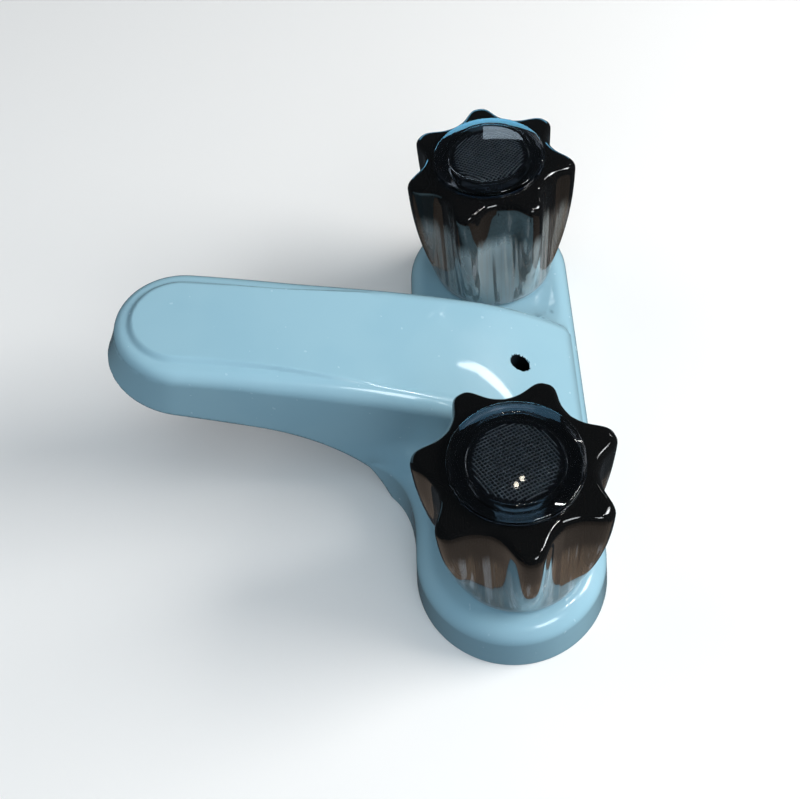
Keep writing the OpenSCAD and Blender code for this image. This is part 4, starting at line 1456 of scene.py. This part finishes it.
@dataclass
class DomedCap:
    """Clear cap pressed into a knob, and the knurled foil disc that shows through it."""

    foot_z: float = 60.83
    rim_r: float = 16.0
    rim_z: float = 62.5
    bevel_r: float = 12.2
    bevel_z: float = 63.6
    crown_z: float = 64.2
    plug_r: float = 14.88
    plug_bore_r: float = 11.3
    plug_z: float = 57.2
    floor_z: float = 60.6
    crown_gap: float = 0.02
    crown_rings: int = 14
    disc_r: float = 11.0
    disc_z: float = 60.0
    disc_top_z: float = 60.36
    ridge_z: float = 60.56
    ridge_area_r: float = 10.1
    ridge_pitch: float = 0.84
    ridge_w: float = 0.26
    ridge_crest: float = 0.35
    ridge_foot: float = 0.7071
    ridge_angles: tuple[float, ...] = (-60.0, 20.0)
    least_square: float = 1e-8
    segments: int = 144
    sharp_angle: float = math.radians(40)

    def cap_mesh(self, name: str) -> bpy.types.Mesh:
        """Turns the clear cap.

        Args:
            name: Name of the mesh.

        Returns:
            The cap about its own axis, in metres.
        """
        # Corners: radius, height and rounding
        corners: list[tuple[float, ...]] = [
            (0, self.floor_z), (self.plug_bore_r, self.floor_z, 0.3),
            (self.plug_bore_r, self.plug_z, 0.3), (self.plug_r, self.plug_z, 0.3),
            (self.plug_r, self.foot_z, 0.1), (self.rim_r, self.foot_z, 0.12),
            (self.rim_r, self.rim_z, 0.45), (self.bevel_r + 0.15, self.bevel_z - 0.05, 0.5),
            (self.bevel_r - 0.25, self.bevel_z - 0.12, 0.25)]
        edge_r, edge_z = self.bevel_r - 0.7, self.bevel_z + self.crown_gap
        for share in 1 - np.linspace(0, 1, self.crown_rings):
            corners.append((edge_r * share, edge_z + (self.crown_z - edge_z) * (1 - share ** 2)))
        return solid_mesh(name, *turned(soften(corners), self.segments, False))

    def ridges(self, name: str) -> bpy.types.Mesh:
        """Presses two families of parallel ridges with Geometry Nodes.

        Args:
            name: Name of the mesh.

        Returns:
            The ridges about their own axis, in metres.
        """
        tree = RuleTree(name + "_rule")
        pitch, area, width, height, level, *turns = tree.named({
            "Ridge Pitch": self.ridge_pitch * MM, "Knurled Radius": self.ridge_area_r * MM,
            "Ridge Width": self.ridge_w * MM, "Ridge Height": (self.ridge_z - self.disc_top_z) * MM,
            "Ridge Level": self.disc_top_z * MM,
            **{f"Family Angle {number}": math.radians(angle)
               for number, angle in enumerate(self.ridge_angles, start=1)}})
        count = (area * 2 / pitch).maths("FLOOR")
        bar = tree.add("GeometryNodeMeshCone", {"fill_type": "NGON"}, {
            "Vertices": 4, "Side Segments": 1, "Radius Top": self.ridge_crest,
            "Radius Bottom": self.ridge_foot, "Depth": 1.0})
        bar = tree.add("GeometryNodeTransform", None, {
            "Geometry": bar, "Rotation": (0.0, 0.0, math.pi / 4)})
        families = []
        for turn in turns:
            row = tree.add("GeometryNodeMeshLine", {"mode": "OFFSET"}, {
                "Count": count, "Start Location": tree.vector(pitch * (count - 1) * -0.5, 0.0, 0.0),
                "Offset": tree.vector(pitch, 0.0, 0.0)})
            x = tree.axis(tree.add("GeometryNodeInputPosition"), 0)
            chord = (area * area - x * x).maths("MAXIMUM", self.least_square) ** 0.5 * 2
            # A bar is as deep again below the level as it stands above it.
            laid = tree.add("GeometryNodeInstanceOnPoints", None, {
                "Points": row, "Instance": bar, "Scale": tree.vector(width, chord, height * 2)})
            families.append(tree.add("GeometryNodeTransform", None, {
                "Geometry": laid, "Translation": tree.vector(0.0, 0.0, level),
                "Rotation": tree.vector(0.0, 0.0, turn)}))
        joined = tree.add("GeometryNodeJoinGeometry", None, {0: families})
        return tree.shape(name, joined, FOIL.material())

    def disc_mesh(self, name: str, side: Side) -> bpy.types.Mesh:
        """Joins the plain disc and its ridges.

        Args:
            name: Name of the mesh.
            side: Which handle, whose phase turns the ridges.

        Returns:
            The disc about its own axis, in metres.
        """
        corners = [(0, self.disc_z), (self.disc_r, self.disc_z, 0.1),
                   (self.disc_r, self.disc_top_z, 0.1), (0, self.disc_top_z)]
        plate = solid_mesh(name, *turned(soften(corners, 3), self.segments, False))
        ridges = self.ridges(name + "_ridges")
        ridges.transform(Matrix.Rotation(math.radians(side.phase), 4, "Z"))
        bm = bmesh.new()
        bm.from_mesh(plate)
        bm.from_mesh(ridges)
        bm.to_mesh(plate)
        bm.free()
        plate.polygons.foreach_set("use_smooth", [False] * len(plate.polygons))
        return plate

    def build(self, side: Side, spacing: float) -> None:
        """Makes one side's cap and disc.

        Args:
            side: Which handle.
            spacing: Distance of its axis from the middle.
        """
        cap_name, disc_name = side.label + "_domed_cap", side.label + "_foil_disc"
        cap, disc = self.cap_mesh(cap_name), self.disc_mesh(disc_name, side)
        for mesh in (cap, disc):
            mesh.transform(side.shift(spacing))
        cap.set_sharp_from_angle(angle=self.sharp_angle)
        place_piece(cap_name, cap, CAP, side.body, side.label + "_index_cap")
        place_piece(disc_name, disc, FOIL, side.body, side.label + "_knurled_disc")


# ------------------------------------------------------------------------- carried CAD nodes

@dataclass
class CarriedNodes:
    """CAD nodes that keep their meshes and get a finish."""

    finishes: dict[str, Finish] = field(default_factory=lambda: {
        "underside_cover": COVER, "cover_screws": STEEL, "base_gasket": GASKET,
        "mixing_tee": CAST_BRASS, "outlet_elbow": CAST_BRASS, "spout_tube": COPPER,
        "aerator_housing": CHROME, "aerator_washer": RUBBER, "aerator_screen": STEEL})
    paired: dict[str, Finish] = field(default_factory=lambda: {
        "end_body": CAST_BRASS, "crossover_tube": COPPER, "seat_spring": STEEL, "seat": RUBBER,
        "cartridge_sleeve": ACETAL, "bonnet_nut": CHROME, "stem": TURNED_BRASS,
        "stem_seal": RUBBER, "spline_insert": ACETAL, "handle_screw": STEEL,
        "mounting_washer": ACETAL, "mounting_nut": ACETAL})

    def dress(self) -> None:
        """Gives every carried node its finish."""
        table = self.finishes | {f"{side.label}_{part}": finish
                                 for part, finish in self.paired.items() for side in SIDES}
        for node, finish in table.items():
            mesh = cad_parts[node].data
            mesh.materials.clear()
            mesh.materials.append(finish.material())
            LOG.info("%s: CAD mesh, finish %s", node, finish.name)


# ------------------------------------------------------------------------------------ studio

class Role(Enum):
    """What a light is for."""

    KEY = "main light that no surface mirrors"
    FILL = "soft light that no surface mirrors, seen through clear pieces"
    GLINT = "pane that only shows as a mirrored highlight"


class Outline(Enum):
    """Outline of a light."""

    SQUARE = "RECTANGLE"
    OVAL = "ELLIPSE"


@dataclass
class SoftLight:
    """One flat light, placed by its direction from what it is aimed at.

    Angles are in degrees, sizes and places in metres.
    """

    name: str
    role: Role
    azimuth: float
    elevation: float
    size: tuple[float, float]
    watts: float
    colour: Colour = (1.0, 1.0, 1.0)
    turn: float = 0.0
    distance: float = 1.0
    outline: Outline = Outline.SQUARE
    only: tuple[str, ...] = ()
    aim: Point = (0.0, 0.0, 0.03)

    def hang(self) -> None:
        """Adds the light to the scene, for the named pieces alone if it names any."""
        data = bpy.data.lights.new(self.name, "AREA")
        data.shape = self.outline.value
        data.size, data.size_y = self.size
        data.energy = self.watts
        data.color = self.colour
        lamp = bpy.data.objects.new(self.name, data)
        azimuth, elevation = math.radians(self.azimuth), math.radians(self.elevation)
        outwards = Vector((math.cos(azimuth) * math.cos(elevation),
                           math.sin(azimuth) * math.cos(elevation), math.sin(elevation)))
        lamp.matrix_world = (Matrix.Translation(Vector(self.aim) + outwards * self.distance)
                             @ (-outwards).to_track_quat("-Z", "Y").to_matrix().to_4x4()
                             @ Matrix.Rotation(math.radians(self.turn), 4, "Z"))
        lamp.visible_camera = False
        lamp.visible_glossy = self.role is Role.GLINT
        lamp.visible_transmission = self.role is Role.FILL
        lamp.visible_diffuse = self.role is not Role.GLINT
        bpy.context.scene.collection.objects.link(lamp)
        if self.only:
            lit = bpy.data.collections.new(self.name + "_pieces")
            for piece in self.only:
                lit.objects.link(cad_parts.get(piece) or bpy.data.objects[piece])
            lamp.light_linking.receiver_collection = lit


KNOBS = ("hot_lobed_knob", "cold_lobed_knob")
HOT_CAP, COLD_CAP = "hot_domed_cap", "cold_domed_cap"
COLD_CAP_SPOT = (0.0508, 0.0, 0.064)
HOT_CAP_SPOT = (-0.0508, 0.0, 0.064)
COOL_WHITE = (0.95, 0.98, 1.0)
LIGHTS = (
    SoftLight("key", Role.KEY, 90, 30, (0.6, 0.6), 12.0, (1.0, 0.99, 0.965)),
    SoftLight("fill_top", Role.FILL, 5, 64, (1.2, 1.2), 4.0, (0.45, 0.78, 1.0), distance=1.5),
    SoftLight("fill_front", Role.FILL, 0, 18, (1.4, 1.4), 6.8, (0.85, 0.92, 1.0), distance=1.5),
    SoftLight("fill_side", Role.FILL, 40, 20, (1.4, 1.4), 5.4, (0.97, 0.98, 1.0), distance=1.5),
    SoftLight("fill_left", Role.FILL, -110, 25, (1.4, 1.4), 7.2, distance=1.5),
    SoftLight("strip_window", Role.GLINT, 131.2, 30.2, (0.018, 0.33), 0.21, turn=-36,
              outline=Outline.OVAL),
    SoftLight("overhead_tube", Role.GLINT, 77, 62, (0.016, 0.20), 0.7),
    SoftLight("back_pane", Role.GLINT, 87, 46, (0.20, 0.24), 1.8, COOL_WHITE),
    SoftLight("knob_pane", Role.GLINT, 92, 48, (0.32, 0.34), 2.6, COOL_WHITE, only=KNOBS),
    SoftLight("side_pane", Role.GLINT, 32, 47, (0.28, 0.22), 1.5, (0.92, 0.97, 1.0)),
    *(SoftLight(f"lamp_pane_{number}", Role.GLINT, azimuth, elevation, (0.020, 0.030), 0.04,
                (1.0, 0.93, 0.78), aim=COLD_CAP_SPOT, only=(COLD_CAP,))
      for number, (azimuth, elevation) in enumerate(((172, 67), (176, 69)), start=1)),
    SoftLight("far_window", Role.GLINT, 173, 32, (0.19, 0.13), 0.24, (0.66, 0.84, 1.0),
              aim=HOT_CAP_SPOT, only=(HOT_CAP,)),
    SoftLight("bevel_sky", Role.GLINT, 180, 28, (0.9, 0.22), 0.7, (0.25, 0.62, 1.0),
              only=(COLD_CAP,)),
    SoftLight("sky_panel", Role.GLINT, 180, 8, (1.4, 0.32), 5.5, (0.20, 0.62, 0.95),
              distance=1.3, only=(HOT_CAP, "hot_lobed_knob", COLD_CAP)),
    SoftLight("table_glow", Role.GLINT, -5, -50, (1.2, 1.0), 0.5, (1.0, 0.74, 0.54),
              distance=0.5, only=KNOBS),
    SoftLight("floor_glow", Role.GLINT, 0, -80, (1.2, 1.2), 1.6, (0.95, 0.97, 1.0), distance=0.5,
              only=("aerator_housing", "outlet_elbow", "hot_bonnet_nut", "cold_bonnet_nut")),
    SoftLight("counter_wash", Role.KEY, 60, 70, (2.0, 2.0), 9.0, (1.0, 0.98, 0.97),
              distance=1.5, only=("counter",)))


@dataclass
class Studio:
    """Camera at the photo's angle, soft lights and a plain pale counter."""

    lens: float = 42.19
    sensor: float = 36.0
    clip: Span = (0.005, 10.0)
    eye: Point = (0.15895, -0.00707, 0.24732)
    right: Point = (0.0074, 0.9941, -0.1081)
    down: Point = (0.8264, -0.0669, -0.5592)
    ahead: Point = (-0.5631, -0.0852, -0.8220)
    counter_z: float = -0.0002
    counter_reach: float = 1.2
    air: Colour = (0.030, 0.035, 0.040)
    backdrop: Colour = (0.78, 0.80, 0.82)

    def camera(self) -> None:
        """Sets the camera."""
        data = bpy.data.cameras.new("photo_camera")
        data.lens, data.sensor_width = self.lens, self.sensor
        data.clip_start, data.clip_end = self.clip
        eye = bpy.data.objects.new("photo_camera", data)
        columns = (Vector(self.right), -Vector(self.down), -Vector(self.ahead))
        turn = Matrix(columns).transposed()
        eye.matrix_world = Matrix.Translation(self.eye) @ turn.to_4x4()
        bpy.context.scene.collection.objects.link(eye)
        bpy.context.scene.camera = eye

    def counter(self) -> None:
        """Lays the plain counter that the base stands on."""
        mesh = bpy.data.meshes.new("counter")
        mesh.from_pydata([(x * self.counter_reach, y * self.counter_reach, self.counter_z)
                          for x, y in ((-1, -1), (1, -1), (1, 1), (-1, 1))], [], [(0, 1, 2, 3)])
        mesh.materials.append(FLOOR.material())
        slab = bpy.data.objects.new("counter", mesh)
        bpy.context.scene.collection.objects.link(slab)
        slab.visible_diffuse = slab.visible_glossy = False

    def build(self) -> None:
        """Makes the camera, the counter and the air, which the camera sees as a backdrop."""
        self.camera()
        self.counter()
        world = bpy.data.worlds.new("studio_air")
        world.use_nodes = True
        pad = NodePad(world.node_tree)
        tone = pad.mix(pad.add("ShaderNodeLightPath", out="Is Camera Ray"), self.air, self.backdrop)
        world.node_tree.links.new(tone.socket, world.node_tree.nodes["Background"].inputs["Color"])
        bpy.context.scene.world = world
        bpy.context.scene.view_settings.view_transform = "Standard"


# -------------------------------------------------------------------------------------- main


def main() -> None:
    """Builds every sub-assembly in order, then the lights, some of which name pieces."""
    logging.basicConfig(level=logging.INFO, format="%(name)s: %(message)s", stream=sys.stdout)
    Studio().build()
    shell = MouldedShell()
    # The bore's faces take the second finish, near-black painted shade.
    place_piece("moulded_shell", shell.mesh(), SHELL, Body.FAUCET, "body_shell", PAINTED_BORE_SHADE)
    for side in SIDES:
        LobedKnob().build(side, shell.half_spacing)
        DomedCap().build(side, shell.half_spacing)
    CarriedNodes().dress()
    for light in LIGHTS:
        light.hang()


if __name__ == "__main__":
    main()
